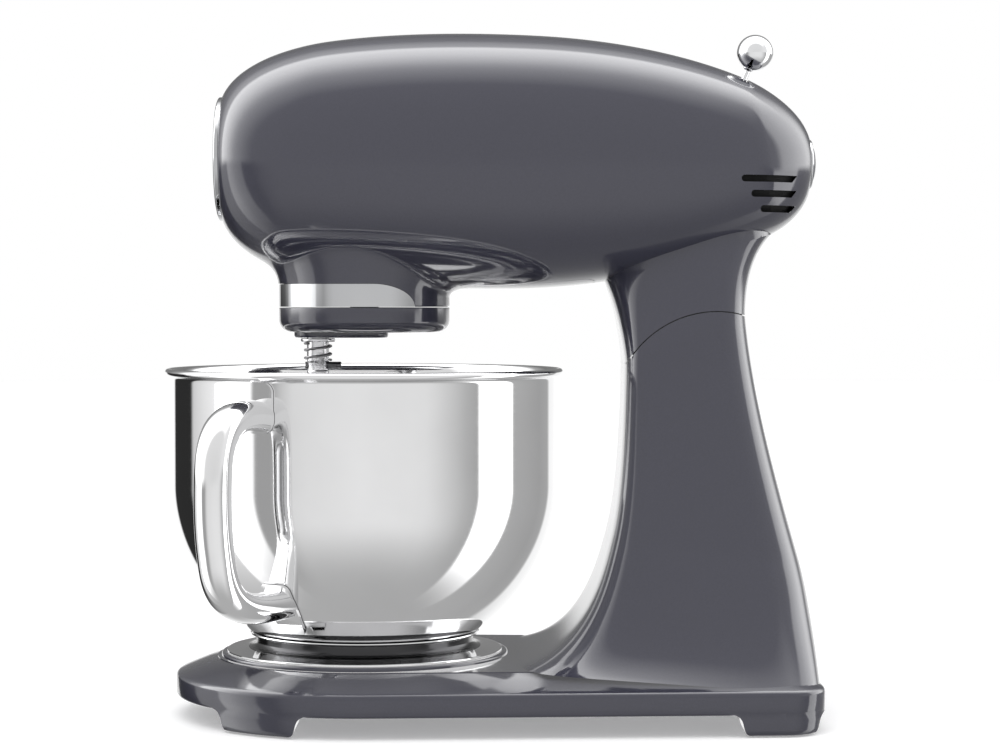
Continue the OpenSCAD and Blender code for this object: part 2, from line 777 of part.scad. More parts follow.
// Side outline of the trim band, whose upper edge sweeps down to its rear end
module band_outline(grow) {
    z0 = hub_seam_z + hub_gap / 2 - grow;
    z1 = band_top_z + grow;
    polygon(concat(
        [[-hub_r - 5, z0], [-hub_r - 5, z1]],
        [for (i = [0 : 10]) [band_bend_x + (band_end_x + grow - band_bend_x) * sin(9 * i), z0 + (z1 - z0) * cos(9 * i)]]
    ));
}

module tube(z0, z1, r0, r1) {
    difference() {
        disc(z0, z1, r1);
        disc(z0 - 1, z1 + 1, r0);
    }
}

module hub_housing() {
    color(paint) difference() {
        tube(hub_seam_z + hub_gap / 2, gear_z + 3, hub_r - hub_wall, hub_r);
        intersection() {
            tube(hub_seam_z - 5, band_top_z + 5, hub_r - band_t - fit_gap, hub_r + 5);
            side_plate(-60, 60) band_outline(fit_gap);
        }
        // Room for the gearbox, which reaches out over the rear of the hub
        translate([0, 0, pan_lobe_z - 0.3]) linear_extrude(20) gearbox_plan(3.3);
    }
}

module hub_trim_band() {
    color(steel) intersection() {
        tube(hub_seam_z - 5, band_top_z + 5, hub_r - band_t, hub_r - 0.1);
        side_plate(-60, 60) band_outline(0);
    }
}

module front_trim_ring() {
    x = -head_front_x;
    color(steel) translate([x - tiny, 0, port_z]) rotate([0, -90, 0]) rotate_extrude() polygon([
        [front_ring_r - front_ring_w, 0], [front_ring_r, 0], [front_ring_r, front_ring_t - 0.8],
        [front_ring_r - 0.8, front_ring_t], [front_ring_r - front_ring_w + 0.8, front_ring_t],
        [front_ring_r - front_ring_w, front_ring_t - 0.8]
    ]);
}

button_r = bezel_r - 3.4;
bezel_bore = button_r + 0.4;

module button_bezel() {
    color(steel) translate([head_rear_x + tiny, 0, button_z]) rotate([0, 90, 0]) rotate_extrude() polygon([
        [bezel_bore, -6], [bezel_r - 2.2, -6], [bezel_r - 2.2, 0], [bezel_r, 0], [bezel_r, bezel_t - 0.6],
        [bezel_r - 0.6, bezel_t], [bezel_bore + 0.5, bezel_t], [bezel_bore, bezel_t - 0.5]
    ]);
}

// ---- Gears ----

// Teeth of each gear; the joint ratios follow from them
planet_teeth = 14;
main_teeth = 60;
idler_pinion_teeth = 16;
idler_teeth = 60;
motor_teeth = 14;

flank = 20;
tooth_slack = 0.14;

// Spur gear outline with straight flanks and one tooth along +X
module gear_outline(teeth, mod, tip, root, slack) {
    rp = teeth * mod / 2;
    ra = rp + tip * mod;
    rf = rp - root * mod;
    half = PI * mod / 4 - slack * mod;
    at_tip = (half - tip * mod * tan(flank)) / ra * 180 / PI;
    at_root = (half + root * mod * tan(flank)) / rf * 180 / PI;
    polygon([for (i = [0 : teeth - 1], p = [[rf, -at_root], [ra, -at_tip], [ra, at_tip], [rf, at_root]])
        let (a = 360 * i / teeth + p[1]) p[0] * [cos(a), sin(a)]]);
}

module spur(z0, h, teeth, mod) {
    translate([0, 0, z0]) linear_extrude(h) gear_outline(teeth, mod, 0.8, 1.15, tooth_slack);
}

ring_teeth = round(planet_teeth + 2 * tool_offset / fine_mod);
ring_mod = 2 * tool_offset / (ring_teeth - planet_teeth);
idler_x = coarse_mod * (main_teeth + idler_pinion_teeth) / 2;
motor_x = idler_x + fine_mod * (idler_teeth + motor_teeth) / 2;
planet_z = hub_seam_z + 3;
gear_z = hub_seam_z + 28;
frame_z = gear_z + 18.5;
frame_t = 4;
pan_z = hub_seam_z + 15.2;
main_r = main_teeth * coarse_mod / 2 + coarse_mod;
idler_r = idler_teeth * fine_mod / 2 + fine_mod;

module ring_gear() {
    color(alloy) difference() {
        union() {
            disc(planet_z, planet_z + gear_face, hub_r - hub_wall - 3.5);
            disc(planet_z + gear_face, pan_z - 0.2, hub_r - hub_wall - 0.3);
        }
        translate([0, 0, planet_z - 1]) rotate(180) linear_extrude(gear_face + 1)
            gear_outline(ring_teeth, ring_mod, 1.15, 0.8, -tooth_slack);
        disc(planet_z + gear_face - tiny, pan_z + 1, ring_teeth * ring_mod / 2 - 0.5);
    }
}

module gearbox_plan(grow) {
    circle(r = main_r + 1.4 + grow);
    translate([idler_x, 0]) circle(r = idler_r + 1.6 + grow);
    translate([motor_x, 0]) circle(r = motor_teeth * fine_mod / 2 + 3.5 + grow);
}

pan_r = hub_r - hub_wall - 0.3;
bearing_r = 16;
bearing_h = 9;

pan_lobe_z = gear_z - 5;

module gearbox_pan() {
    color(alloy) difference() {
        union() {
            disc(pan_z, frame_z - 0.2, pan_r);
            translate([0, 0, pan_lobe_z]) linear_extrude(frame_z - 0.2 - pan_lobe_z) gearbox_plan(3);
        }
        translate([0, 0, gear_z - 1.5]) linear_extrude(30) gearbox_plan(0);
        disc(pan_z - 1, frame_z, main_shaft_r + 2);
        disc(gear_z - 1.5 - bearing_h, frame_z, bearing_r + 0.03);
        disc(pan_lobe_z - 1, frame_z, axle_r + 0.02, idler_x);
    }
}

module main_bearings() {
    color(steel) for (z = [gear_z - 1.5 - bearing_h + 0.05, frame_z + 0.5]) difference() {
        disc(z, z + bearing_h - 0.3, bearing_r);
        disc(z - 1, z + bearing_h + 1, main_shaft_r + run_gap);
    }
}

axle_r = 4;

module idler_axle() {
    color(steel) disc(gear_z - 4.9, frame_z + frame_t, axle_r, idler_x);
}

module idler_gear() {
    z1 = gear_z + gear_face + 1.2;
    color(alloy) translate([idler_x, 0, 0]) difference() {
        union() {
            rotate(180 + 180 / idler_pinion_teeth)
                spur(gear_z - 0.3, gear_face + 2, idler_pinion_teeth, coarse_mod);
            spur(z1, gear_face, idler_teeth, fine_mod);
        }
        disc(gear_z - 2, z1 + gear_face + 2, axle_r + run_gap);
    }
}

module main_gear() {
    color(steel) difference() {
        spur(gear_z, gear_face, main_teeth, coarse_mod);
        disc(gear_z - 1, gear_z + gear_face + 1, main_shaft_r + 0.02);
        for (i = [0 : 5]) rotate(60 * i + 30) disc(gear_z - 1, gear_z + gear_face + 1, 7, 22);
    }
}

bevel_r = 18;
bevel_back = 5;
bevel_top_r = 8.5;

// Cone of a bevel gear below its apex at the origin, pulled back from the pitch cone
module bevel_cone(pull) {
    translate([0, 0, -bevel_r - pull]) cylinder(r1 = bevel_r, r2 = bevel_top_r, h = bevel_r - bevel_top_r);
    translate([0, 0, -bevel_r - pull - bevel_back]) cylinder(r1 = bevel_r - 4, r2 = bevel_r, h = bevel_back);
}

module main_bevel_gear() {
    color(steel) translate([0, 0, port_z]) difference() {
        bevel_cone(move_gap);
        translate([0, 0, -60]) cylinder(r = main_shaft_r + 0.02, h = 80);
    }
}

module main_shaft() {
    color(steel) disc(hub_low_z + 2, port_z - bevel_top_r - move_gap, main_shaft_r);
}

// ---- Planetary carrier and tool shaft ----

journal_r = 4;
carrier_top_z = hub_seam_z - hub_gap / 2;

module planetary_carrier() {
    color(paint) difference() {
        union() {
            rotate_extrude($fn = 96) polygon(concat(
                [[0, hub_low_z], [hub_r - hub_edge_r, hub_low_z]],
                arc([hub_r - hub_edge_r, hub_low_z + hub_edge_r], hub_edge_r, -80, 0, 8),
                [[hub_r, carrier_top_z], [hub_r - 4, carrier_top_z], [hub_r - 4, hub_low_z + 10],
                    [hub_r - 10, hub_low_z + 5], [0, hub_low_z + 5]]
            ));
            // Arm under the drum and the bosses inside it
            for (x = [-tool_offset, 0]) disc(hub_low_z - arm_drop, hub_low_z + 1, arm_r, x);
            block([-tool_offset, -arm_r, hub_low_z - arm_drop], [0, arm_r, hub_low_z + 1]);
            for (x = [-tool_offset, 0]) disc(hub_low_z, carrier_top_z + (x == 0 ? 1.5 : 0), 12, x);
        }
        disc(hub_low_z + 2 - tiny, carrier_top_z + 5, main_shaft_r + 0.02);
        disc(hub_low_z - arm_drop - 1, carrier_top_z + 5, tool_r + run_gap, -tool_offset);
    }
}

nose_top_z = cross_pin_z - cross_pin_r - 0.5;

module on_tool_axis() {
    translate([-tool_offset, 0, 0]) children();
}

module tool_shaft() {
    z = carrier_top_z - 0.3;
    color(steel) on_tool_axis() difference() {
        union() {
            disc(cross_pin_z, z, tool_r);
            // Neck round the cross pin, and the nose that a tool slides over
            disc(tool_end_z + 1, cross_pin_z + 1, tool_r - 0.3);
            disc(tool_end_z + 1, nose_top_z, tool_r);
            translate([0, 0, tool_end_z]) cylinder(r1 = tool_r - 1, r2 = tool_r, h = 1);
            disc(z - 1, planet_z + gear_face + 2, journal_r);
        }
        along_x(-20, 20, 0, cross_pin_z, cross_pin_r + 0.02);
    }
}

module planet_pinion() {
    color(steel) on_tool_axis() difference() {
        rotate(180) spur(planet_z, gear_face, planet_teeth, ring_mod);
        disc(planet_z - 1, planet_z + gear_face + 1, journal_r + 0.02);
    }
}

module tool_cross_pin() {
    color(steel) on_tool_axis() along_x(-tool_r - 1, cross_pin_reach, 0, cross_pin_z, cross_pin_r);
}

collar_r = 9.6;
collar_t = 2;
collar_z = hub_low_z - arm_drop - 0.4 - collar_t;

module tool_collar() {
    color(steel) on_tool_axis() difference() {
        disc(collar_z, collar_z + collar_t, collar_r);
        disc(collar_z - 1, collar_z + collar_t + 1, tool_r + 0.02);
    }
}

// Coil of round wire, as a swept tube of eight-sided rings
module coil(r, wire, height, turns) {
    steps = round(turns * 14);
    rings = [for (i = [0 : steps])
        let (a = 360 * turns * i / steps)
        [for (k = [0 : 7])
            let (b = 45 * k, q = r + wire * cos(b))
            [q * cos(a), q * sin(a), wire + (height - 2 * wire) * i / steps + wire * sin(b)]]];
    loft(rings);
}

spring_wire = 0.7;

module tool_spring() {
    low = cross_pin_z + cross_pin_r + 0.3;
    color(steel) on_tool_axis() translate([0, 0, low])
        coil(tool_r + spring_wire + 0.3, spring_wire, collar_z - 0.2 - low, 2.6);
}

// ---- Frame and motor ----

frame_top_z = frame_z + frame_t;
cradle_x = [-42, -33];

module head_frame() {
    color(alloy) difference() {
        union() {
            translate([0, 0, frame_z]) linear_extrude(frame_t) {
                gearbox_plan(2.5);
                translate([0, -34]) square([125, 68]);
                translate([100, -18]) square([hinge_x + 3 - 100, 36]);
            }
            disc(frame_z, frame_z + bearing_h + 1, bearing_r + 4);
            // Cradle of the port sleeve
            block([cradle_x[0], -18, frame_z], [cradle_x[1], 18, port_z - 12]);
            block([-42, -18, frame_z], [-24, 18, frame_top_z]);
            // Wall that carries the control board
            block([board_x[0] - 1, -20.5, frame_z], [board_x[1] + 1, -18, board_top_z + 1]);
            // Post under the speed potentiometer
            block([pot_mid[0] - 5, -5, frame_z], [pot_mid[0] + 5, 5, pot_mid[1] - 4]);
        }
        disc(frame_z - 1, frame_z + 20, main_shaft_r + 1);
        disc(frame_z + 0.4, frame_z + 20, bearing_r + 0.03);
        disc(frame_z - 1, frame_z + 10, axle_r + 0.02, idler_x);
        disc(frame_z - 1, frame_z + 10, motor_teeth * fine_mod / 2 + 2.5, motor_x);
        along_x(-60, -20, 0, port_z, sleeve_r + 0.2);
        lever_frame() rotate([0, 90, 0]) cylinder(r = pot_r + 0.2, h = 60, center = true);
        for (p = frame_screw_at) disc(frame_z - 1, frame_top_z + 1, screw_r + fit_gap, p[0], p[1]);
        for (p = bolt_at) disc(frame_z - 1, frame_top_z + 1, bolt_r + 0.02, p[0], p[1]);
    }
}

bolt_r = 2.5;
bolt_at = [for (x = [-1, 1], y = [-1, 1]) [motor_x + x * (field_half - 5), y * (field_half - 5)]];
lower_bracket_t = 5;
fan_z = frame_top_z + lower_bracket_t + 2.5;
field_z = fan_z + 9;
upper_bracket_z = head_top_z - motor_room;
comm_z = upper_bracket_z - 11;
field_h = comm_z - 5 - field_z;
motor_bearing_r = 8;

module motor_square(z0, h, r0, side) {
    translate([motor_x, 0, z0]) linear_extrude(h) difference() {
        offset(r = 6) square(2 * side - 12, center = true);
        circle(r = r0);
        for (p = bolt_at) translate([p[0] - motor_x, p[1]]) circle(r = bolt_r + 0.05);
    }
}

module motor_lower_bracket() {
    color(alloy) motor_square(frame_top_z + 0.1, lower_bracket_t - 0.1, motor_bearing_r + 0.03, field_half);
}

module motor_upper_bracket() {
    color(alloy) motor_square(upper_bracket_z, 5, motor_bearing_r + 0.03, field_half);
}

module motor_bearings() {
    color(steel) for (z = [frame_top_z + 0.1, upper_bracket_z]) difference() {
        disc(z, z + 4.9, motor_bearing_r, motor_x);
        disc(z - 1, z + 6, rotor_shaft_r + run_gap, motor_x);
    }
}

module motor_field() {
    color(alloy) motor_square(field_z, field_h, armature_r + air_gap, field_half);
    // End turns of the field windings
    color(copper) for (z = [field_z - 4, field_z + field_h], side = [-1, 1])
        block([motor_x - 14, side > 0 ? armature_r + 2 : -armature_r - 9, z],
            [motor_x + 14, side > 0 ? armature_r + 9 : -armature_r - 2, z + 4]);
}

module motor_bolts() {
    color(steel) for (p = bolt_at) {
        disc(frame_z + 0.2, upper_bracket_z + 5, bolt_r, p[0], p[1]);
        disc(upper_bracket_z + 5, upper_bracket_z + 7, bolt_r + 1.6, p[0], p[1]);
    }
}

comm_r = 10;

module brush_holders() {
    color(black) for (side = [-1, 1])
        block([motor_x - 5, side > 0 ? comm_r + 0.5 : -27, comm_z + 1],
            [motor_x + 5, side > 0 ? 27 : -comm_r - 0.5, upper_bracket_z - 0.1]);
}

module rotor_shaft() {
    color(steel) {
        disc(gear_z + 8, upper_bracket_z + 7, rotor_shaft_r, motor_x);
        translate([motor_x, 0, 0]) rotate(180 + 180 / motor_teeth)
            spur(gear_z + gear_face + 1, gear_face + 0.4, motor_teeth, fine_mod);
    }
}

module armature() {
    color(alloy) difference() {
        disc(field_z + 0.5, field_z + field_h - 0.5, armature_r, motor_x);
        disc(field_z - 1, field_z + field_h + 1, rotor_shaft_r + 0.02, motor_x);
        translate([motor_x, 0, 0]) for (i = [0 : 11]) rotate(30 * i)
            block([armature_r - 4, -0.8, field_z - 1], [armature_r + 1, 0.8, field_z + field_h + 1]);
    }
}

module commutator() {
    color(copper) difference() {
        disc(comm_z, upper_bracket_z - 1, comm_r, motor_x);
        disc(comm_z - 1, upper_bracket_z + 1, rotor_shaft_r + 0.02, motor_x);
    }
}

module cooling_fan() {
    color(black) translate([motor_x, 0, 0]) difference() {
        union() {
            disc(fan_z - 1.5, fan_z, fan_r);
            disc(fan_z - 1.5, fan_z + 3.5, 8);
            for (i = [0 : 8]) rotate(40 * i) block([7, -0.8, fan_z - tiny], [fan_r - 0.5, 0.8, fan_z + 3.5]);
        }
        disc(fan_z - 5, fan_z + 6, rotor_shaft_r + 0.02);
    }
}

board_x = [hinge_x - 60.6, hinge_x - 14.6];
board_top_z = head_top_z - 50.3;

module control_board() {
    z0 = frame_top_z + 4;
    h = board_top_z - z0;
    color([0.10, 0.35, 0.18]) block([board_x[0], -22.3, z0], [board_x[1], -20.7, board_top_z]);
    color(black) for (i = [0 : 2])
        block([board_x[0] + 4 + 16 * i, -32, z0 + 0.17 * h], [board_x[0] + 12 + 16 * i, -22.3, z0 + 0.47 * h]);
}

pot_r = 8;
pot_mid = lever_at + [-14 * cos(lever_lean), 14 * sin(lever_lean)];

module speed_potentiometer() {
    color(black) lever_frame() rotate([0, 90, 0]) difference() {
        translate([0, 0, -20]) cylinder(r = pot_r, h = 12);
        translate([0, 0, -15]) cylinder(r = 3 + run_gap, h = 20);
    }
}

module speed_lever() {
    color(steel) lever_frame() {
        rotate([0, 90, 0]) {
            translate([0, 0, -5]) cylinder(r = 5.5, h = 9);
            translate([0, 0, -14.5]) cylinder(r = 3, h = 12);
        }
        cylinder(r = stem_r, h = lever_len - knob_r + 1);
    }
}

module speed_knob() {
    color(steel) lever_frame() difference() {
        translate([0, 0, lever_len]) rotate_extrude($fn = 96) polygon(arc([0, 0], knob_r, -90, 90, 24));
        cylinder(r = stem_r + 0.02, h = lever_len - knob_r + 1.02);
    }
}

// ---- Front port ----

sleeve_r = 20;
port_r = 17;
cap_seat_r = 18.5;
cap_seat_depth = 5.2;
pto_r = 6.5;
port_depth = 21;

module accessory_sleeve() {
    x = -head_front_x;
    color(alloy) difference() {
        union() {
            along_x(x + 0.2, x + 4, 0, port_z, port_half - head_wall - 0.3);
            along_x(x + 0.2, cradle_x[1], 0, port_z, sleeve_r);
        }
        along_x(x - 1, x + cap_seat_depth, 0, port_z, cap_seat_r);
        along_x(x - 1, x + port_depth - 1, 0, port_z, port_r);
        along_x(x - 1, cradle_x[0] - 2, 0, port_z, port_r - 2);
        along_x(x, cradle_x[1] + 1, 0, port_z, pto_r + run_gap);
    }
}

module pto_shaft() {
    x0 = -head_front_x + port_depth;
    color(steel) difference() {
        union() {
            along_x(x0, -bevel_r, 0, port_z, pto_r);
            translate([0, 0, port_z]) rotate([0, 90, 0]) rotate([0, 0, 90]) bevel_cone(move_gap);
        }
        block([x0 - 1, -4, port_z - 4], [x0 + 14, 4, port_z + 4]);
    }
}

module front_cover() {
    x = -head_front_x;
    r = front_ring_r - front_ring_w - 0.35;
    color(paint) {
        translate([x, 0, port_z]) rotate([0, -90, 0]) rotate_extrude() polygon([
            [0, 0.1], [r, 0.1], [r, front_ring_t - 1.6], [r * 0.92, front_ring_t - 0.7],
            [r * 0.6, front_ring_t - 0.1], [0, front_ring_t + 0.1]
        ]);
        difference() {
            along_x(x - 0.5, x + cap_seat_depth - 0.5, 0, port_z, cap_seat_r - 0.3);
            along_x(x + 1.5, x + cap_seat_depth, 0, port_z, cap_seat_r - 2.5);
        }
    }
}

// ---- Release button and latch ----

button_travel = 4;
rod_r = 3;
rod_end_x = head_rear_x - 42;
latch_x = hinge_x - 33.6;
latch_z = hinge_z + 84.1;
latch_bar = [rod_end_x - 0.4 - 3, button_z];

module release_button() {
    color(steel) translate([head_rear_x, 0, button_z]) rotate([0, 90, 0]) {
        rotate_extrude() polygon(concat(
            [[0, -5], [button_r, -5], [button_r, bezel_t]],
            [for (i = [1 : 6]) [button_r * cos(15 * i), bezel_t + button_dome * sin(15 * i)]]
        ));
        translate([0, 0, -42]) cylinder(r = rod_r, h = 38);
    }
}

spring_x = [head_rear_x - 20, head_rear_x - 5.3];

module button_spring() {
    color(steel) translate([spring_x[0], 0, button_z]) rotate([0, 90, 0])
        coil(rod_r + 1.6, 0.6, spring_x[1] - spring_x[0], 5);
}

// Bell crank: the button's rod pushes its upper bar, and its toe swings off the stud
module latch_lever() {
    stud_a = arm_from - 3.5;
    stud = [hinge_x + 44 * sin(stud_a), hinge_z + 44 * cos(stud_a)];
    // Its shank clears the rear end of the crown's slot when the head is fully tilted
    waist_z = hinge_z + seam_r * cos(slot_to - tilt);
    color(steel) difference() {
        union() {
            side_plate(20.5, 25.5) {
                translate([latch_x, latch_z]) circle(r = 7);
                polygon([
                    [latch_x - 4, latch_z], [latch_x + 3, latch_z - 3], [latch_x + 3, waist_z],
                    [stud[0] + 9.5, stud[1] + 2], [stud[0] + 5, stud[1] - 5], [stud[0] + 4.2, stud[1] + 4],
                    [latch_x - 1.2, waist_z]
                ]);
                polygon([
                    [latch_x - 4, latch_z + 3], [latch_x + 4, latch_z - 4],
                    [latch_bar[0] + 2, latch_bar[1] - 2], [latch_bar[0] - 2, latch_bar[1] + 2]
                ]);
            }
            along_y(latch_bar[0], latch_bar[1], 3, -5, 25.5);
        }
        along_y(latch_x, latch_z, 3 + run_gap, 10, 40);
    }
}

// ---- Bowl ----

bowl_low_z = flange_z + 7;
bowl_floor_r = bowl_neck_r + 0.5;

// Outer line of the bowl's round lower part, as [r, z], moved in by the sheet's thickness
function bowl_line(inset) = [
    [bowl_r - inset, bowl_bend_z], [bowl_r - inset, bowl_bend_z - 28 + inset / 3],
    [bowl_r - 14.6 - inset * 0.7, seat_z + 33 + inset * 0.8], [64 - inset * 0.5, seat_z + 12 + inset]
];
bowl_steps = 14;

module bowl() {
    rim_tube = 2.1;
    color(steel) rotate_extrude($fn = 128) {
        polygon(concat(
            [[0, bowl_low_z], [bowl_floor_r, bowl_low_z]],
            [for (i = [bowl_steps : -1 : 0]) bez(bowl_line(0), i / bowl_steps)],
            [[bowl_r, rim_z - 4], [bowl_r - bowl_t, rim_z - 4]],
            [for (i = [0 : bowl_steps]) bez(bowl_line(bowl_t), i / bowl_steps)],
            [[bowl_floor_r - 0.4, bowl_low_z + bowl_t], [0, bowl_low_z + bowl_t]]
        ));
        // Rolled rim
        translate([rim_r - rim_tube, rim_z - rim_tube]) circle(r = rim_tube, $fn = 24);
        polygon([[bowl_r - bowl_t, rim_z - 5], [bowl_r, rim_z - 5], [rim_r - rim_tube, rim_z - 1.5],
            [rim_r - rim_tube, rim_z - 0.1], [bowl_r - bowl_t + 1, rim_z - 1.4]]);
    }
}

module bowl_foot() {
    low = seat_z + 0.3;
    color(steel) difference() {
        rotate_extrude($fn = 128) {
            polygon([
                [bowl_neck_r - 1.2, flange_z], [bowl_neck_r + 5, flange_z], [bowl_foot_r - 6, low],
                [bowl_foot_r, low], [bowl_foot_r, low + 0.9], [bowl_foot_r - 6, low + 1.9],
                [bowl_neck_r + 5, flange_z + 3], [bowl_neck_r, flange_z + 6.2], [bowl_neck_r, bowl_low_z - 0.2],
                [bowl_neck_r - 1.2, bowl_low_z - 0.2]
            ]);
            polygon([[bowl_neck_r - 1.2, bowl_low_z - 2.2], [bowl_neck_r + 7, bowl_low_z - 0.9],
                [bowl_neck_r + 8.8, bowl_low_z + 1.2], [bowl_neck_r + 8.4, bowl_low_z + 2.6],
                [bowl_neck_r + 5.6, bowl_low_z + 2.2], [bowl_neck_r + 1, bowl_low_z - 0.2]]);
            polygon([[seat_boss_r + 1, flange_z], [bowl_neck_r, flange_z],
                [bowl_neck_r, flange_z + flange_t], [seat_boss_r + 1, flange_z + flange_t]]);
        }
        intersection() {
            tube(flange_z - 2, flange_z + flange_t + 0.2, 30, lug_r + 1.5);
            for (i = [0 : lug_count - 1]) rotate(i * 360 / lug_count - twist)
                sector(lug_r + 20, lug_half + 1.5, flange_z - 3, flange_z + flange_t + 3);
        }
    }
}

// Centre line of the handle in its own plane, as [r, z]
handle_line = [
    [[bowl_r - 1, rim_z - 23.4], [bowl_r + 15, rim_z - 20.2], [handle_mid - 5.5, rim_z - 20],
        [handle_mid - 0.8, rim_z - 42.5]],
    [[handle_mid - 0.8, rim_z - 42.5], [handle_mid + 1.5, rim_z - 57], [handle_mid + 1, rim_z - 80],
        [handle_mid - 2.5, rim_z - 94.5]],
    [[handle_mid - 2.5, rim_z - 94.5], [handle_mid - 6, rim_z - 124], [bowl_r + 11, rim_z - 125],
        [bowl_r - 24, rim_z - 123.7]]
];

function turned(v) = [v[1], -v[0]] / norm(v);

module bowl_handle() {
    steps = 26;
    sides = 16;
    pad_half = 4.9;
    rings = [for (i = [0 : steps])
        let (
            t = i / steps,
            p = chain(handle_line, t),
            d = chain(handle_line, min(1, t + 0.01)) - chain(handle_line, max(0, t - 0.01)),
            n = turned(d),
            slim = 0.93 + 0.07 * sin(180 * t)
        )
        [for (k = [0 : sides - 1])
            let (
                a = 360 * k / sides,
                off = handle_t / 2 * slim * signed_pow(cos(a), 0.8),
                side = handle_w / 2 * signed_pow(sin(a), 0.8)
            )
            [p[0] + n[0] * off, -side, p[1] + n[1] * off]]];
    color(steel) rotate(-90 - handle_turn) {
        // The grip's two arms end on the bowl's wall
        difference() {
            loft(rings);
            rotate_extrude($fn = 128) polygon(concat(
                [[0, rim_z], [bowl_r + 0.3, rim_z]],
                [for (i = [0 : bowl_steps]) bez(bowl_line(-0.3), i / bowl_steps)],
                [[0, bowl_low_z]]
            ));
        }
        // Plates on the bowl's wall
        rotate(-pad_half) rotate_extrude(angle = 2 * pad_half, $fn = 128)
            translate([bowl_r + 0.15, rim_z - 31.5]) square([3.4, 26.5]);
        rotate(-pad_half) rotate_extrude(angle = 2 * pad_half, $fn = 128)
            polygon(concat(
                [for (i = [8 : 12]) bez(bowl_line(-0.3), i / bowl_steps)],
                [for (i = [12 : -1 : 8]) bez(bowl_line(-3.6), i / bowl_steps)]
            ));
    }
}

place() stand_casting();
place() base_bottom_plate();
place() rubber_feet();
place() base_screws();
place() bowl_seat_plate();
place() seat_screws();
place() hinge_bracket();
place() bracket_bolts();
place() hinge_pin();
place() pin_circlips();
place() cord_gland();
place() head_shell();
place() head_underside_cover();
place() neck_casting();
place() hinge_arm();
place() head_frame();
place() frame_screws();
place() hub_housing();
place() hub_trim_band();
place() front_trim_ring();
place() button_bezel();
place() vent_grilles();
place() accessory_sleeve();
place() gearbox_pan();
place() ring_gear();
place() main_bearings();
place() idler_axle();
place() motor_lower_bracket();
place() motor_upper_bracket();
place() motor_field();
place() motor_bolts();
place() motor_bearings();
place() brush_holders();
place() control_board();
place() speed_potentiometer();
place() planetary_carrier();
place() main_shaft();
place() main_gear();
place() main_bevel_gear();
place() tool_shaft();
place() planet_pinion();
place() tool_cross_pin();
place() tool_spring();
place() tool_collar();
place() idler_gear();
place() rotor_shaft();
place() armature();
place() commutator();
place() cooling_fan();
place() pto_shaft();
place() front_cover();
place() speed_lever();
place() speed_knob();
place() release_button();
place() button_spring();
place() latch_lever();
place() bowl();
place() bowl_foot();
place() bowl_handle();
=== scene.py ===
import math

import bmesh
import bpy
import numpy as np
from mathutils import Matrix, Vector


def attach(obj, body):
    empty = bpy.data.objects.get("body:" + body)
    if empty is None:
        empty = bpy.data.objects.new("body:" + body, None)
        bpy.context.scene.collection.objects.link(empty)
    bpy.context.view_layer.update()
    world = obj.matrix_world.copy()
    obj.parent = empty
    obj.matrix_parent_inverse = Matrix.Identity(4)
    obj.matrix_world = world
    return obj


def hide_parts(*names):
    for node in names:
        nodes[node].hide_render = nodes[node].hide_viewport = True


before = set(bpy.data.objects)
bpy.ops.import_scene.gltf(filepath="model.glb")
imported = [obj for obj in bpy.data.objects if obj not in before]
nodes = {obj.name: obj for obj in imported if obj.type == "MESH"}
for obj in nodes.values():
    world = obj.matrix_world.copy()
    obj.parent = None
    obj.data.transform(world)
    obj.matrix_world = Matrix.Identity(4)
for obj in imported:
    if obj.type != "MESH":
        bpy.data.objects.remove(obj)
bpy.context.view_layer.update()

# Millimetres in the machine's own frame (bowl axis at x = 0, y = 0) to metres in the row frame
SHIFT = np.array([-70.3, 15.2378, 0.0])

# Degrees between two faces from which their edge stays sharp, on small pieces and on the large castings
CREASE, CAST_CREASE = 32, 40
# Metres within which two points of a mesh are one
WELD_GAP = 1e-7
# Millimetres below which an outline's side is none, and half the angle above which its corner is straight
NO_LENGTH, STRAIGHT = 1e-6, math.radians(88)


def row(points):
    return (np.asarray(points, float) + SHIFT) / 1000


# ---------------------------------------------------------------- mesh helpers

def link(name, mesh):
    obj = bpy.data.objects.new(name, mesh)
    bpy.context.scene.collection.objects.link(obj)
    return obj


def smooth(obj, angle=CREASE):
    mesh = obj.data
    mesh.polygons.foreach_set("use_smooth", [True] * len(mesh.polygons))
    mesh.set_sharp_from_angle(angle=math.radians(angle))
    mesh.update()
    return obj


def weld(obj):
    b = bmesh.new()
    b.from_mesh(obj.data)
    bmesh.ops.remove_doubles(b, verts=b.verts, dist=WELD_GAP)
    bmesh.ops.recalc_face_normals(b, faces=b.faces)
    b.to_mesh(obj.data)
    b.free()


def from_faces(name, points, faces, angle):
    mesh = bpy.data.meshes.new(name)
    mesh.from_pydata([tuple(p) for p in row(points)], [], faces)
    mesh.validate()
    obj = link(name, mesh)
    weld(obj)
    return smooth(obj, angle)


def band_faces(a, b, n):
    """Quads between two rings of n points, whose first points are a and b."""
    return [(a + i, a + (i + 1) % n, b + (i + 1) % n, b + i) for i in range(n)]


def loft(name, rings, angle=CREASE):
    """Closed skin through rings of equal length, with a flat face on each end."""
    rings = np.asarray(rings, float)
    m, n = rings.shape[:2]
    faces = [face for k in range(m - 1) for face in band_faces(k * n, (k + 1) * n, n)]
    faces += [tuple(range(n - 1, -1, -1)), tuple((m - 1) * n + i for i in range(n))]
    return from_faces(name, rings.reshape(-1, 3), faces, angle)


def closed_loft(name, rings, angle=CREASE):
    """Skin through rings whose last ring joins the first, such as a wall with two faces."""
    rings = np.asarray(rings, float)
    m, n = rings.shape[:2]
    faces = [face for k in range(m) for face in band_faces(k * n, (k + 1) % m * n, n)]
    return from_faces(name, rings.reshape(-1, 3), faces, angle)


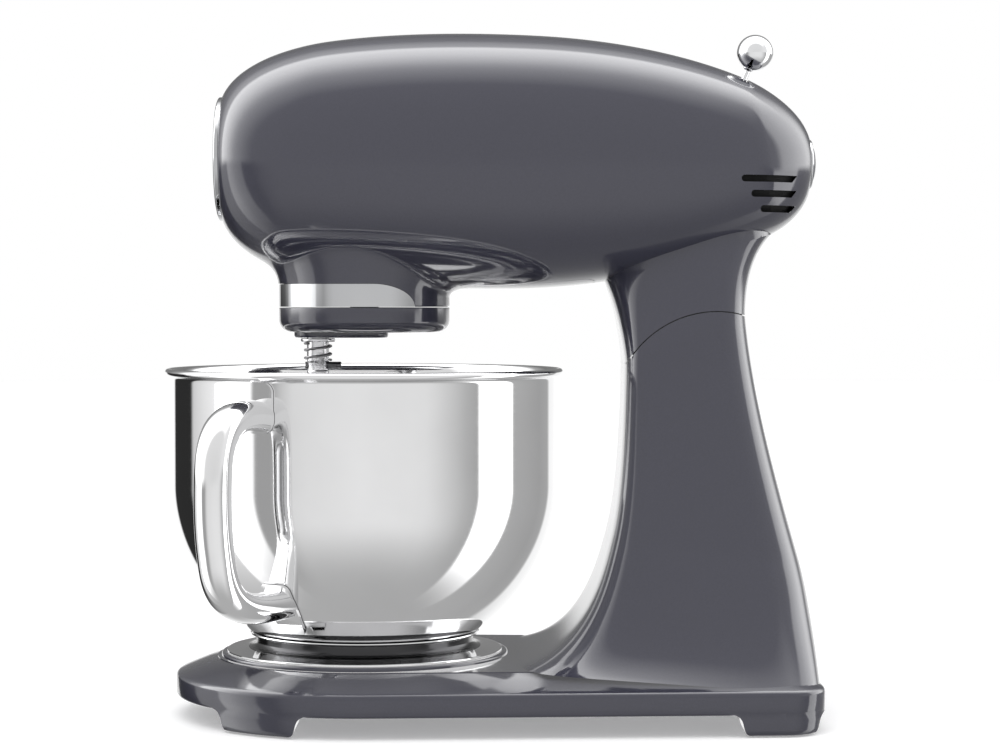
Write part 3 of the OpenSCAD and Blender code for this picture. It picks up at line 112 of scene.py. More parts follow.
def rounded(points, radii, steps=5):
    """Closed or open 2-D outline with its corners rounded; a radius of 0 leaves the corner."""
    points = [np.array(p, float) for p in points]
    out = []
    n = len(points)
    for i, p in enumerate(points):
        r = radii[i] if hasattr(radii, "__len__") else radii
        a, b = points[i - 1] - p, points[(i + 1) % n] - p
        la, lb = np.linalg.norm(a), np.linalg.norm(b)
        if r <= 0 or min(la, lb) < NO_LENGTH:
            out.append(p)
            continue
        a, b = a / la, b / lb
        half = math.acos(max(-1, min(1, float(a @ b)))) / 2
        if half > STRAIGHT:
            out.append(p)
            continue
        cut = min(r / math.tan(half), 0.49 * la, 0.49 * lb)
        r = cut * math.tan(half)
        centre = p + (a + b) / np.linalg.norm(a + b) * r / math.sin(half)
        s, e = p + a * cut - centre, p + b * cut - centre
        a0, a1 = math.atan2(s[1], s[0]), math.atan2(e[1], e[0])
        turn = (a1 - a0 + math.pi) % (2 * math.pi) - math.pi
        sweep = [a0 + turn * k / steps for k in range(steps + 1)]
        out += [centre + r * np.array([math.cos(v), math.sin(v)]) for v in sweep]
    return out


def lathe(name, outline, axis="z", at=(0, 0, 0), seg=160, angle=CREASE):
    """Solid of revolution from a closed outline of (radius, height along the axis)."""
    outline = np.asarray(outline, float)
    ang = np.linspace(0, 2 * math.pi, seg, endpoint=False)
    r = outline[:, 0][None, :]
    h = np.broadcast_to(outline[:, 1][None, :], (seg, len(outline)))
    c, s = np.cos(ang)[:, None], np.sin(ang)[:, None]
    p = {"z": (r * c, r * s, h), "x": (h, r * c, r * s), "-x": (-h, r * c, r * s)}[axis]
    return closed_loft(name, np.stack(p, -1) + np.array(at, float), angle)


def prism(name, outline, low, high, plane="xy"):
    """Straight prism of a closed outline; plane xz runs from y = low to y = high."""
    outline = np.asarray(outline, float)
    a, b = outline[:, 0], outline[:, 1]
    if plane == "xy":
        rings = [np.stack([a, b, np.full(len(a), z)], -1) for z in (low, high)]
    else:
        rings = [np.stack([a, np.full(len(a), y), b], -1) for y in (low, high)]
    return loft(name, rings)


def boolean(obj, other, operation, keep=False, angle=CREASE):
    """Applies a boolean to obj and removes the other piece, unless keep is set."""
    mod = obj.modifiers.new("cut", "BOOLEAN")
    mod.operation, mod.object, mod.solver = operation, other, "EXACT"
    graph = bpy.context.evaluated_depsgraph_get()
    mesh = bpy.data.meshes.new_from_object(obj.evaluated_get(graph))
    obj.modifiers.clear()
    mesh.name = obj.name
    obj.data = mesh
    if not keep:
        bpy.data.objects.remove(other)
    return smooth(obj, angle)


def join(objs, name):
    b = bmesh.new()
    for o in objs:
        b.from_mesh(o.data)
    mesh = bpy.data.meshes.new(name)
    b.to_mesh(mesh)
    b.free()
    for o in objs:
        bpy.data.objects.remove(o)
    return link(name, mesh)


# ---------------------------------------------------------------- curves of the casting

def bez(p, t):
    """Points at the shares t along the cubic curve of four control points or numbers."""
    p, t = np.asarray(p, float), np.asarray(t, float)
    t = t.reshape(t.shape + (1,) * (p.ndim - 1))
    return (1 - t) ** 3 * p[0] + 3 * (1 - t) ** 2 * t * p[1] + 3 * (1 - t) * t * t * p[2] + t ** 3 * p[3]


def chain(pieces, t):
    """The same along several curves in a row, each with an equal share."""
    n = len(pieces)
    t = np.atleast_1d(np.asarray(t, float))
    i = np.clip(np.floor(t * n), 0, n - 1).astype(int)
    return np.array([bez(pieces[k], v * n - k) for k, v in zip(i, t)])


def eased(pieces, t, width=0.02):
    """chain() with the small kinks between its pieces taken out."""
    t = np.atleast_1d(np.asarray(t, float))
    offs = np.linspace(-1, 1, 9)
    weights = 1 - np.abs(offs) * 0.9
    room = np.minimum(width, np.minimum(t, 1 - t))
    total = sum(w * chain(pieces, t + o * room) for o, w in zip(offs, weights))
    return total / weights.sum()


def curve(points, count, start=0.0, end=1.0):
    """Points along one cubic curve, as pairs."""
    return [tuple(p) for p in bez(points, np.linspace(start, end, count))]


def arc(centre, r, start, end, steps):
    """Points along a circle between two angles in degrees."""
    a = np.radians(np.linspace(start, end, steps + 1))
    return [(centre[0] + r * math.cos(v), centre[1] + r * math.sin(v)) for v in a]


def spread(points, count):
    """Even spacing by length round a closed outline that starts at its first point."""
    closed = np.vstack([points, points[:1]])
    step = np.linalg.norm(np.diff(closed, axis=0), axis=1)
    length = np.concatenate([[0], np.cumsum(step)])
    at = np.linspace(0, length[-1], count, endpoint=False)
    return np.stack([np.interp(at, length, closed[:, k]) for k in range(3)], -1)


# Points of a section before they are spaced evenly
FINE = 720


def ring(upper, lower, half_w, n_up, n_low, inset, count):
    """Superellipse section between two points of the side view; n_up and n_low square its two ends."""
    upper, lower = np.asarray(upper, float), np.asarray(lower, float)
    centre, span = (upper + lower) / 2, upper - lower
    h = np.linalg.norm(span) / 2
    u = span / (2 * h)
    a = np.linspace(0, 2 * math.pi, FINE, endpoint=False)
    c, s = np.cos(a), np.sin(a)
    n = np.where(c > 0, n_up, n_low)
    up = (h - inset) * np.sign(c) * np.abs(c) ** (2 / n)
    side = (half_w - inset) * np.sign(s) * np.abs(s) ** (2 / n)
    pts = np.stack([centre[0] + u[0] * up, side, centre[1] + u[1] * up], -1)
    return spread(pts, count)


# Head: its top and lowest heights, its nose at -FRONT_X, its tail and half its width
HEAD_TOP, HEAD_LOW, FRONT_X, REAR_X, HALF_W = 378.3, 236.7, 78.5, 247.8, 67.5
# Front port and release button: their heights, and half the width of the head's flat end there
PORT_Z, PORT_HALF, BUTTON_Z, TAIL_HALF = 308.9, 34.4, 306.0, 14.6
head_top = [
    [[-FRONT_X, PORT_Z + PORT_HALF], [-FRONT_X + 3.5, PORT_Z + PORT_HALF + 9],
     [-62, HEAD_TOP - 12.3], [-24.6, HEAD_TOP - 5.3]],
    [[-24.6, HEAD_TOP - 5.3], [10, HEAD_TOP], [55, HEAD_TOP + 0.9], [100, HEAD_TOP - 1.6]],
    [[100, HEAD_TOP - 1.6], [140, HEAD_TOP - 3.9], [180, HEAD_TOP - 11.8], [REAR_X - 37.5, HEAD_TOP - 24.3]],
    [[REAR_X - 37.5, HEAD_TOP - 24.3], [REAR_X - 21.8, HEAD_TOP - 30.8],
     [REAR_X - 4, BUTTON_Z + 29], [REAR_X, BUTTON_Z + TAIL_HALF]],
]
head_low = [
    [[-FRONT_X, PORT_Z - PORT_HALF], [-FRONT_X + 2.5, PORT_Z - PORT_HALF - 10],
     [-64, HEAD_LOW + 17.8], [-50, HEAD_LOW + 12.3]],
    [[-50, HEAD_LOW + 12.3], [-20, HEAD_LOW + 2.3], [40, HEAD_LOW - 0.5], [85, HEAD_LOW]],
    [[85, HEAD_LOW], [130, HEAD_LOW + 0.7], [185, HEAD_LOW + 10.3], [REAR_X - 21.2, HEAD_LOW + 30.2]],
    [[REAR_X - 21.2, HEAD_LOW + 30.2], [REAR_X - 9.8, HEAD_LOW + 35.8],
     [REAR_X - 1.3, BUTTON_Z - 24], [REAR_X, BUTTON_Z - TAIL_HALF]],
]
head_side = [
    [PORT_HALF, PORT_HALF + 11, HALF_W - 13, HALF_W - 7],
    [HALF_W - 7, HALF_W - 1, HALF_W + 0.5, HALF_W - 1.5],
    [HALF_W - 1.5, HALF_W - 4.5, HALF_W - 11.5, HALF_W - 23.5],
    [HALF_W - 23.5, HALF_W - 31.5, TAIL_HALF + 9, TAIL_HALF],
]


def head_ring(t, inset, count):
    n = 2 + 0.45 * math.sin(math.pi * t)
    return ring(eased(head_top, t)[0], eased(head_low, t)[0], float(eased(head_side, t)[0]),
                n, n, inset, count)


# Stand: the tilt hinge, the seat under the bowl, the base's rear end, the top of its edge and its underside
HINGE_X, HINGE_Z, SEAT_Z, BASE_REAR, BASE_EDGE, BASE_UNDER = 193.6, 167.9, 35.0, 249.5, 24.4, 11.8
# Ends of the seam between column and neck, in front and behind
SEAM_F, SEAM_R = (HINGE_X - 49.3, HINGE_Z + 29.1), (HINGE_X + 17.2, HINGE_Z + 54.1)
column_front = [
    [[87, SEAT_Z - 1.5], [121, SEAT_Z + 6], [SEAM_F[0] - 13.8, SEAT_Z + 42], [SEAM_F[0] - 8, SEAT_Z + 65]],
    [[SEAM_F[0] - 8, SEAT_Z + 65], [SEAM_F[0] - 2.2, SEAT_Z + 88], [SEAM_F[0] - 0.8, SEAM_F[1] - 37], SEAM_F],
    [SEAM_F, [SEAM_F[0] - 1.4, SEAM_F[1] + 14], [SEAM_F[0] - 4.8, SEAM_F[1] + 31],
     [SEAM_F[0] - 10.7, HEAD_LOW + 5.3]],
]
column_rear = [
    [[BASE_REAR - 1.2, BASE_EDGE - 2], [BASE_REAR - 1.2, BASE_EDGE + 22],
     [BASE_REAR - 4.2, BASE_EDGE + 45], [BASE_REAR - 9.6, BASE_EDGE + 65]],
    [[BASE_REAR - 9.6, BASE_EDGE + 65], [BASE_REAR - 22.5, BASE_EDGE + 110],
     [SEAM_R[0] + 3.8, SEAM_R[1] - 42], SEAM_R],
    [SEAM_R, [SEAM_R[0] + 0.7, SEAM_R[1] + 16], [SEAM_R[0] + 3.7, HEAD_LOW + 18.3],
     [SEAM_R[0] + 15.8, HEAD_LOW + 30.3]],
]
column_side = [[90, 74, 68, 61], [61, 55, 48, 46], [46, 44, 41, 38]]
# Shares of the curves' length: where the neck starts, its span, and below which the rear corners square up
NECK_T, NECK_SPAN, SQUARE_T = 0.667, 0.333, 0.22


def column_ring(t, inset, count):
    if t < NECK_T:
        front_n, rear_n = 7.0, 4.2 + 3.5 * max(0, 1 - t / SQUARE_T) ** 2
    else:
        front_n, rear_n = 7.0 - 4.2 * (t - NECK_T) / NECK_SPAN, 4.2 - 1.7 * (t - NECK_T) / NECK_SPAN
    return ring(eased(column_rear, t)[0], eased(column_front, t)[0], float(eased(column_side, t)[0]),
                rear_n, front_n, inset, count)


# Base in plan: a round front of BASE_R about the bowl's axis, and a straight rear end with rounded corners
BASE_R, BASE_HALF, CORNER_R = 105.0, 93.0, 24.0
corner = (BASE_REAR - CORNER_R, BASE_HALF - CORNER_R)
side_lean = math.degrees(math.atan2(corner[1], corner[0])
                         + math.acos((BASE_R - CORNER_R) / math.hypot(*corner)))


def base_outline(inset):
    pts = (arc((0, 0), BASE_R - inset, side_lean, 360 - side_lean, 90)
           + arc((corner[0], -corner[1]), CORNER_R - inset, -side_lean, 0, 16)
           + arc(corner, CORNER_R - inset, 0, side_lean, 16))
    return spread(np.array([(x, y, 0) for x, y in pts]), 200)


def base_rings(levels):
    """Rings of the base's plan from (height, inset) pairs."""
    rings = []
    for z, inset in levels:
        p = base_outline(inset)
        p[:, 2] = z
        rings.append(p)
    return rings


# ---------------------------------------------------------------- materials

# Range in which a noise texture's values mostly lie
NOISE_SPAN = (0.3, 0.7)


def material(name, colour, metallic, roughness):
    mat = bpy.data.materials.new(name)
    mat.use_nodes = True
    tree = mat.node_tree
    shader = tree.nodes["Principled BSDF"]
    shader.inputs["Base Color"].default_value = (*colour, 1)
    shader.inputs["Metallic"].default_value = metallic
    shader.inputs["Roughness"].default_value = roughness
    return mat, tree, shader


def add(tree, kind, **inputs):
    """New shader node, whose inputs are values or sockets under their names, with _ for a space."""
    node = tree.nodes.new("ShaderNode" + kind)
    for name, value in inputs.items():
        socket = node.inputs[name.replace("_", " ")]
        if isinstance(value, bpy.types.NodeSocket):
            tree.links.new(value, socket)
        else:
            socket.default_value = value
    return node


def coords(tree, scale=(1, 1, 1)):
    return add(tree, "Mapping", Scale=scale, Vector=add(tree, "TexCoord").outputs["Object"]).outputs["Vector"]


def noise(tree, vector, scale, detail, rough=0.5):
    return add(tree, "TexNoise", Scale=scale, Detail=detail, Roughness=rough, Vector=vector).outputs["Fac"]


def roughen(tree, shader, value, low, high, span=NOISE_SPAN):
    """Roughness from low to high as value crosses span."""
    node = add(tree, "MapRange", From_Min=span[0], From_Max=span[1], To_Min=low, To_Max=high, Value=value)
    tree.links.new(node.outputs["Result"], shader.inputs["Roughness"])


def tint(tree, shader, value, colour, dark, light):
    """Base colour from colour * dark to colour * light as value crosses the noise's span."""
    node = add(tree, "ValToRGB", Fac=value)
    for element, position, share in zip(node.color_ramp.elements, NOISE_SPAN, (dark, light)):
        element.position, element.color = position, (*[min(1, c * share) for c in colour], 1)
    tree.links.new(node.outputs["Color"], shader.inputs["Base Color"])


def bump(tree, shader, height, strength, distance, socket="Normal"):
    node = add(tree, "Bump", Strength=strength, Distance=distance, Height=height)
    tree.links.new(node.outputs["Normal"], shader.inputs[socket])


def enamel(name, colour):
    """Glossy stoved enamel: a faint flake variation, orange peel in the coat, dust-fine roughness change."""
    mat, tree, shader = material(name, colour, 0.0, 0.3)
    for socket, value in (("Specular IOR Level", 0.12), ("Coat Weight", 1.0), ("Coat Roughness", 0.07),
                          ("Coat IOR", 1.6)):
        shader.inputs[socket].default_value = value
    at = coords(tree)
    tint(tree, shader, noise(tree, at, 900, 3), colour, 0.95, 1.05)
    roughen(tree, shader, noise(tree, at, 12, 2), 0.28, 0.36, (0.1, 0.9))
    bump(tree, shader, noise(tree, at, 90, 1, 0.3), 0.012, 0.0006, "Coat Normal")
    return mat


def polished(name, colour, rough=(0.02, 0.05), grain=(1, 1, 1), scale=60, lift=0.01):
    """Polished metal with hairlines along one way and a faint cloudiness."""
    mat, tree, shader = material(name, colour, 1.0, rough[0])
    lines = noise(tree, coords(tree, grain), scale, 6, 0.6)
    roughen(tree, shader, lines, *rough)
    tint(tree, shader, noise(tree, coords(tree), 18, 3), colour, 0.96, 1.03)
    bump(tree, shader, lines, lift, 0.0002)
    return mat


def brushed(name, colour, grain=(2, 2, 120), rough=(0.22, 0.42)):
    mat, tree, shader = material(name, colour, 1.0, rough[0])
    lines = noise(tree, coords(tree, grain), 30, 8, 0.65)
    roughen(tree, shader, lines, *rough)
    tint(tree, shader, lines, colour, 0.85, 1.08)
    bump(tree, shader, lines, 0.12, 0.0003)
    return mat


def cast(name, colour, metallic):
    mat, tree, shader = material(name, colour, metallic, 0.5)
    grit = noise(tree, coords(tree), 420, 6, 0.65)
    roughen(tree, shader, grit, 0.42, 0.62)
    tint(tree, shader, noise(tree, coords(tree), 24, 4), colour, 0.82, 1.1)
    bump(tree, shader, grit, 0.25, 0.0005)
    return mat


def moulded(name, colour, rough):
    mat, tree, shader = material(name, colour, 0.0, rough[0])
    grain = noise(tree, coords(tree), 700, 4, 0.6)
    roughen(tree, shader, noise(tree, coords(tree), 30, 3), *rough)
    tint(tree, shader, grain, colour, 0.8, 1.25)
    bump(tree, shader, grain, 0.2, 0.0003)
    return mat


paint = enamel("slate_enamel", (0.033, 0.033, 0.050))
trim_chrome = polished("smoked_chrome", (0.50, 0.505, 0.515))
chrome = polished("bright_chrome", (0.80, 0.805, 0.815))
bowl_steel = polished("bowl_mirror_steel", (0.78, 0.78, 0.785), (0.035, 0.075), (1, 1, 26), 34, 0.012)
handle_steel = polished("handle_mirror_steel", (0.80, 0.80, 0.805), (0.03, 0.07), (6, 6, 1), 30, 0.012)
shaft_steel = polished("shaft_steel", (0.62, 0.62, 0.63), (0.10, 0.22), (1, 1, 40), 60, 0.05)
dark_wire = brushed("dark_spring_wire", (0.22, 0.22, 0.225), (30, 30, 4), (0.25, 0.4))
dark_pin = brushed("hardened_pin", (0.16, 0.16, 0.165), (40, 4, 4), (0.3, 0.45))
# Near-black steel for the foot ring's waist: painted shade under the bowl and painted reflection of the dark
# base
painted_shade_steel = polished("painted_shade_waist_steel", (0.05, 0.05, 0.052), (0.10, 0.2), (1, 1, 30), 50, 0.02)
steel = brushed("machine_steel", (0.56, 0.56, 0.57))
aluminium = cast("die_cast_alloy", (0.60, 0.61, 0.62), 0.9)
iron = cast("machined_iron", (0.28, 0.28, 0.29), 0.8)
rubber = moulded("black_rubber", (0.022, 0.022, 0.023), (0.62, 0.8))
plastic = moulded("black_plastic", (0.012, 0.012, 0.013), (0.42, 0.55))
vent_black = moulded("vent_black", (0.002, 0.002, 0.002), (0.8, 0.95))
board = moulded("lacquered_board", (0.03, 0.16, 0.06), (0.3, 0.4))
copper = brushed("turned_copper", (0.72, 0.36, 0.18))


def dress(obj, mat, body, slot, *replaced):
    obj.data.materials.clear()
    obj.data.materials.append(mat)
    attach(obj, body)
    if replaced:
        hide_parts(*replaced)
    return obj


def turned(name, outline, mat, body, slot, *replaced, **shape):
    """Dressed solid of revolution, whose shape is given as to lathe()."""
    return dress(lathe(name, outline, **shape), mat, body, slot, *replaced)


# ---------------------------------------------------------------- head

# Rings along the head, closer together at its two ends, the points of a ring and the skin's wall
HEAD_RINGS, HEAD_COUNT, SHELL_WALL = 150, 176, 2.6
ts = 0.5 - 0.5 * np.cos(np.linspace(0, math.pi, HEAD_RINGS))
ts = 0.55 * ts + 0.45 * np.linspace(0, 1, HEAD_RINGS)
outer = [head_ring(t, 0, HEAD_COUNT) for t in ts]
inner = [head_ring(t, SHELL_WALL, HEAD_COUNT) for t in ts[::-1]]
head = closed_loft("head_skin", outer + inner, CAST_CREASE)
head_bare = loft("head_bare", outer, CAST_CREASE)

# Small cover under the head, with the gap round it and the opening for the hub. All cutters run well past
# the skins that they cut, so the ends of their reach are round numbers.
COVER_X, COVER_HALF, COVER_R, COVER_GAP, HUB_OPENING = (53.5, 127.6), 24.0, 8, 0.35, 46.0


def cover_plan(grow):
    x0, x1, w = COVER_X[0] - grow, COVER_X[1] + grow, COVER_HALF + grow
    return rounded([(x0, -w), (x1, -w), (x1, w), (x0, w)], COVER_R, 8)


plate = link("head_underplate", head.data.copy())
boolean(plate, prism("plate_cut", cover_plan(0), 225, 262), "INTERSECT", angle=CAST_CREASE)

cutters = [prism("seam_cut", cover_plan(COVER_GAP), 220, 265),
           prism("hub_cut", arc((0, 0), HUB_OPENING, 0, 354, 59), 215, 270)]

# Three slots on each side: the middle one's height and front end, half their width, and the step between them
VENT_Z, VENT_X, VENT_HALF, VENT_RISE, VENT_SHIFT = 288.3, 213.7, 1.85, 8.1, 5.6
for side in (-1, 1):
    for i in (-1, 0, 1):
        z = VENT_Z + i * VENT_RISE
        pts = (arc((VENT_X - i * VENT_SHIFT, z), VENT_HALF, 90, 270, 12)
               + [(REAR_X - 12.5, z - VENT_HALF), (REAR_X - 9.5, z + VENT_HALF)])
        y0, y1 = (8, 80) if side > 0 else (-80, -8)
        cutters.append(prism(f"vent_cut{side}{i}", pts, y0, y1, "xz"))

# Slot of the speed lever, which swings across the head about a leaning axis: the knob's centre and distance
# from that axis, the slot's reach to each side in degrees, its outer and inner radius and half its width
lean = math.radians(22.7)
KNOB_AT, KNOB_ARM = np.array([217.8, 0, 368.1]), 52
SLOT_SWING, SLOT_OUT, SLOT_IN, SLOT_HALF = 34, 60, 30, 2.2
stem = np.array([math.sin(lean), 0, math.cos(lean)])
along = np.array([math.cos(lean), 0, -math.sin(lean)])
pivot = KNOB_AT - KNOB_ARM * stem
swing = np.radians(np.linspace(-SLOT_SWING, SLOT_SWING, 25))
slot_pts = [(math.sin(a) * r, math.cos(a) * r)
            for r, angles in ((SLOT_OUT, swing), (SLOT_IN, swing[::-1])) for a in angles]
slot_rings = [[pivot + along * d + np.array([0, 1, 0]) * a + stem * b for a, b in slot_pts]
              for d in (-SLOT_HALF, SLOT_HALF)]
cutters.append(loft("lever_slot", slot_rings))
boolean(head, join(cutters, "head_cutters"), "DIFFERENCE", angle=CAST_CREASE)
dress(head, paint, "head", "head_shell", "head_shell")
dress(plate, paint, "head", "head_underside_cover", "head_underside_cover")

# Neck: it starts below the seam, its top runs on inside the head, and its lower end is cut round the hinge
SEAM_RADIUS, CROWN_RADIUS, NECK_START = 56.6, 56.0, 0.585
neck_rings = [column_ring(t, 0, 160) for t in np.linspace(NECK_START, 1, 70)]
top_ring = neck_rings[-1]
neck_rings += [top_ring * (1, 0.99 - 0.03 * k, 1) + np.array([-0.7 * k, 0, 4.0 * k]) for k in range(1, 6)]
neck = loft("neck_skin", neck_rings, CAST_CREASE)
seam = prism("neck_cut", arc((HINGE_X, HINGE_Z), SEAM_RADIUS, 0, 357, 119), -90, 90, "xz")
boolean(neck, seam, "DIFFERENCE", angle=CAST_CREASE)
dress(neck, paint, "head", "neck_casting", "neck_casting")

# Dark gasket that closes the seam from inside, just over the column's crown
GASKET_RADIUS, NECK_WALL = 58.5, 1.6
gasket_arc = np.radians(np.linspace(-54, 16, 36))
gasket_line = [(HINGE_X + r * math.sin(a), HINGE_Z + r * math.cos(a))
               for r, angles in ((CROWN_RADIUS + 0.05, gasket_arc), (GASKET_RADIUS, gasket_arc[::-1]))
               for a in angles]
gasket = prism("neck_gasket", gasket_line, -60, 60, "xz")
neck_room = loft("neck_room", [column_ring(t, NECK_WALL, 120) for t in np.linspace(0.5, 0.95, 30)])
boolean(gasket, neck_room, "INTERSECT")
dress(gasket, rubber, "head", "neck_casting")

# ---------------------------------------------------------------- stand

# Column: above the seam only its round crown is left, which the neck turns over
column = loft("column_part", [column_ring(t, 0, 200) for t in np.linspace(0, 0.9, 150)], CAST_CREASE)
seam_low = SEAM_F[1] - 1.5
crown = prism("keep_round", arc((HINGE_X, HINGE_Z), CROWN_RADIUS, 0, 357, 119), -110, 110, "xz")
below = prism("keep_low", [(0, -20), (290, -20), (290, seam_low), (0, seam_low)], -110, 110, "xz")
boolean(crown, below, "UNION")
boolean(column, crown, "INTERSECT", angle=CAST_CREASE)

# Base: its rounded lower edge, then its crowned top as pairs of inset and share of the rise from edge to
# seat, and the flat round land under the bowl
rise = SEAT_Z - BASE_EDGE
LAND_R = 79.8
top_curve = [(0, -0.30), (0.0, -0.13), (0.25, -0.02), (0.9, 0.07), (2.0, 0.13), (3.6, 0.20), (6, 0.30),
             (9, 0.41), (13, 0.56), (18, 0.72), (24, 0.84), (30, 0.9)]
levels = [(BASE_UNDER + h, inset) for h, inset in ((0, 4), (0, 1.6), (0.5, 0.6), (1.6, 0), (7, 0))]
levels += [(BASE_EDGE - 1 + rise * share, min(inset, CORNER_R - 1)) for inset, share in top_curve]
stand = loft("base_part", base_rings(levels), CAST_CREASE)
land_line = rounded([(0, 16), (LAND_R, 16), (LAND_R, SEAT_Z), (0, SEAT_Z)], [0, 0, 1.2, 0], 5)

# Feet: the place of each one's pad, and the distance of its inner face from the middle plane
FEET = [(-52.5, 72.0, 61), (224.5, 76.0, 68)]
PAD_AT = [(x, side * y) for x, y, _ in FEET for side in (-1, 1)]
# Half a foot's length, the height of its lower face, and the pad in it
FOOT_HALF, FOOT_DROP, PAD_R, PAD_TOP = 19.0, 1.0, 9.0, 2.55
# Gland of the cord in the rear of the base
GLAND_Z, GLAND_R = BASE_UNDER + 13, 6.85


def foot(x, side, inner_y):
    """Cast foot whose inner ends run out in an S curve into the underside."""
    half, drop, waist = FOOT_HALF, FOOT_DROP, BASE_UNDER - 4.5
    flank = curve([(half + 13, waist + 6), (half + 4.5, waist + 5.5), (half + 3, waist + 4),
                   (half + 1.8, waist)], 9)
    flank += curve([(half + 1.8, waist), (half + 0.9, waist - 4), (half + 0.4, drop), (half - 3.0, drop)],
                   8, 0.12)
    outline = ([(x - half - 13, 18), (x + half + 13, 18)] + [(x + a, z) for a, z in flank]
               + [(x - a, z) for a, z in flank[::-1]])
    y0, y1 = (45, 120) if side > 0 else (-120, -45)
    block = prism(f"foot{x}{side}", outline, y0, y1, "xz")
    hull = loft("foot_hull", base_rings(((0.8, 2.4), (1.8, 1.2), (4, 0.6), (9, 0.2), (20, 0.05))))
    boolean(block, hull, "INTERSECT")
    top = BASE_UNDER + 2.5
    room = [(x - 60, -10), (x + 60, -10), (x + 60, top), (x - 60, top)]
    return boolean(block, prism("foot_inner", room, -inner_y, inner_y, "xz"), "DIFFERENCE")


boolean(stand, lathe("land_part", land_line, "z", seg=200), "UNION", angle=CAST_CREASE)
for x, _, inner_y in FEET:
    for side in (-1, 1):
        boolean(stand, foot(x, side, inner_y), "UNION", angle=CAST_CREASE)
stand.name = "base_skin"
pad_room = [(0, -2), (PAD_R + 0.15, -2), (PAD_R + 0.15, PAD_TOP + 0.05), (0, PAD_TOP + 0.05)]
sockets = [lathe(f"pad_cut{i}", pad_room, "z", (x, y, 0), 48) for i, (x, y) in enumerate(PAD_AT)]
gland_room = [(0, 236), (GLAND_R + 0.05, 236), (GLAND_R + 0.05, 256), (0, 256)]
sockets.append(lathe("gland_cut", gland_room, "x", (0, 0, GLAND_Z), 48))
socket_cuts = join(sockets, "pad_cuts")
boolean(column, socket_cuts, "DIFFERENCE", keep=True, angle=CAST_CREASE)
boolean(stand, socket_cuts, "DIFFERENCE", angle=CAST_CREASE)
dress(stand, paint, "stand", "stand_casting", "stand_casting")
column.name = "column_skin"
dress(column, paint, "stand", "stand_casting")

# ---------------------------------------------------------------- hub

# Radius of the collar, the seam above the carrier's drum, the band's top, and where the flare starts
HUB_R, SEAM_Z, BAND_TOP, BLEND_Z = 47.5, 226.5, 239.2, 233.5
# The flare's reach at the collar's sides, what is added to it in front and behind, and the share that bends
FLARE, FLARE_ENDS, FLARE_BEND = 3.0, 7.5, 0.62


def underside(x, y):
    """Height of the head's skin above the point, in machine millimetres."""
    hit, at, _, _ = head_bare.ray_cast(Vector(row((x, y, 200))), Vector((0, 0, 1)))
    return at.z * 1000 if hit else HEAD_LOW + 12


def collar_ring(angle):
    """Section of the collar at one bearing: a straight wall, then a flare that lies down on the head."""
    c, s = math.cos(angle), math.sin(angle)
    spread_out = FLARE + FLARE_ENDS * c * c
    reach = HUB_R + spread_out
    low, near = underside(reach * c, reach * s), underside((reach - 2) * c, (reach - 2) * s)
    slope, lead = (low - near) / 2, FLARE_BEND * spread_out
    turn_z = min(BLEND_Z, low - 5)
    flare = curve([(HUB_R, turn_z), (HUB_R, turn_z + FLARE_BEND * (low - turn_z)),
                   (reach - lead, low - lead * slope - 0.1), (reach, low - 0.05)], 22)
    wall = [(HUB_R - 3.5, SEAM_Z + 0.25), (HUB_R - 0.7, SEAM_Z + 0.25)]
    wall += [(HUB_R, z) for z in np.linspace(SEAM_Z + 0.9, turn_z, 6)[:-1]]
    outline = wall + flare + [(reach, low + 1.2), (HUB_R - 3.5, low + 1.2)]
    return [(r * c, r * s, z) for r, z in outline]


head_bare.data.update()
bearings = np.linspace(0, 2 * math.pi, 240, endpoint=False)
collar = closed_loft("hub_collar", [collar_ring(a) for a in bearings])
bpy.data.objects.remove(head_bare)

# The band's rear end in side view: a quarter ellipse from its top down to the seam
BAND_END, BAND_LOW_END = 6.9, 29.3


def band_side(grow):
    z0, z1 = SEAM_Z + 0.25 - grow, BAND_TOP + grow
    outline = [(-55, z0), (-55, z1)]
    outline += [(BAND_END + (BAND_LOW_END + grow - BAND_END) * math.sin(a), z0 + (z1 - z0) * math.cos(a))
                for a in np.radians(np.linspace(0, 90, 28))]
    return prism("band_side", outline, -70, 70, "xz")


room_line = [(HUB_R - 1.9, 215), (HUB_R + 20, 215), (HUB_R + 20, 245), (HUB_R - 1.9, 245)]
band_room = lathe("band_room", room_line, "z", seg=220)
boolean(band_room, band_side(0.25), "INTERSECT")
boolean(collar, band_room, "DIFFERENCE")
dress(collar, paint, "head", "hub_housing", "hub_housing")
band_line = [(HUB_R - 1.7, 226.75), (HUB_R - 0.02, 226.75), (HUB_R - 0.02, 241), (HUB_R - 1.7, 241)]
band = lathe("hub_band", band_line, "z", seg=220)
boolean(band, band_side(0), "INTERSECT")
dress(band, trim_chrome, "head", "hub_trim_band", "hub_trim_band")

# Carrier: the drum that turns under the collar, with an oblong boss round the tool's shaft
TOOL_AT, SHAFT_R, BOSS_R, DRUM_LOW = (-26, 0, 0), 6.2, 13.3, 212.7
drum_line = rounded([(0, DRUM_LOW), (HUB_R, DRUM_LOW), (HUB_R, SEAM_Z - 0.25), (HUB_R - 4, SEAM_Z - 0.25),
                     (HUB_R - 4, 222), (0, 218)], [0, 11.5, 0.5, 0, 0, 0], 14)
drum = lathe("carrier_drum", drum_line, "z", seg=220)


def oblong(r, z):
    pts = arc((0, 0), r, -90, 90, 24) + arc(TOOL_AT[:2], r, 90, 270, 24)
    return [(x, y, z) for x, y in pts]


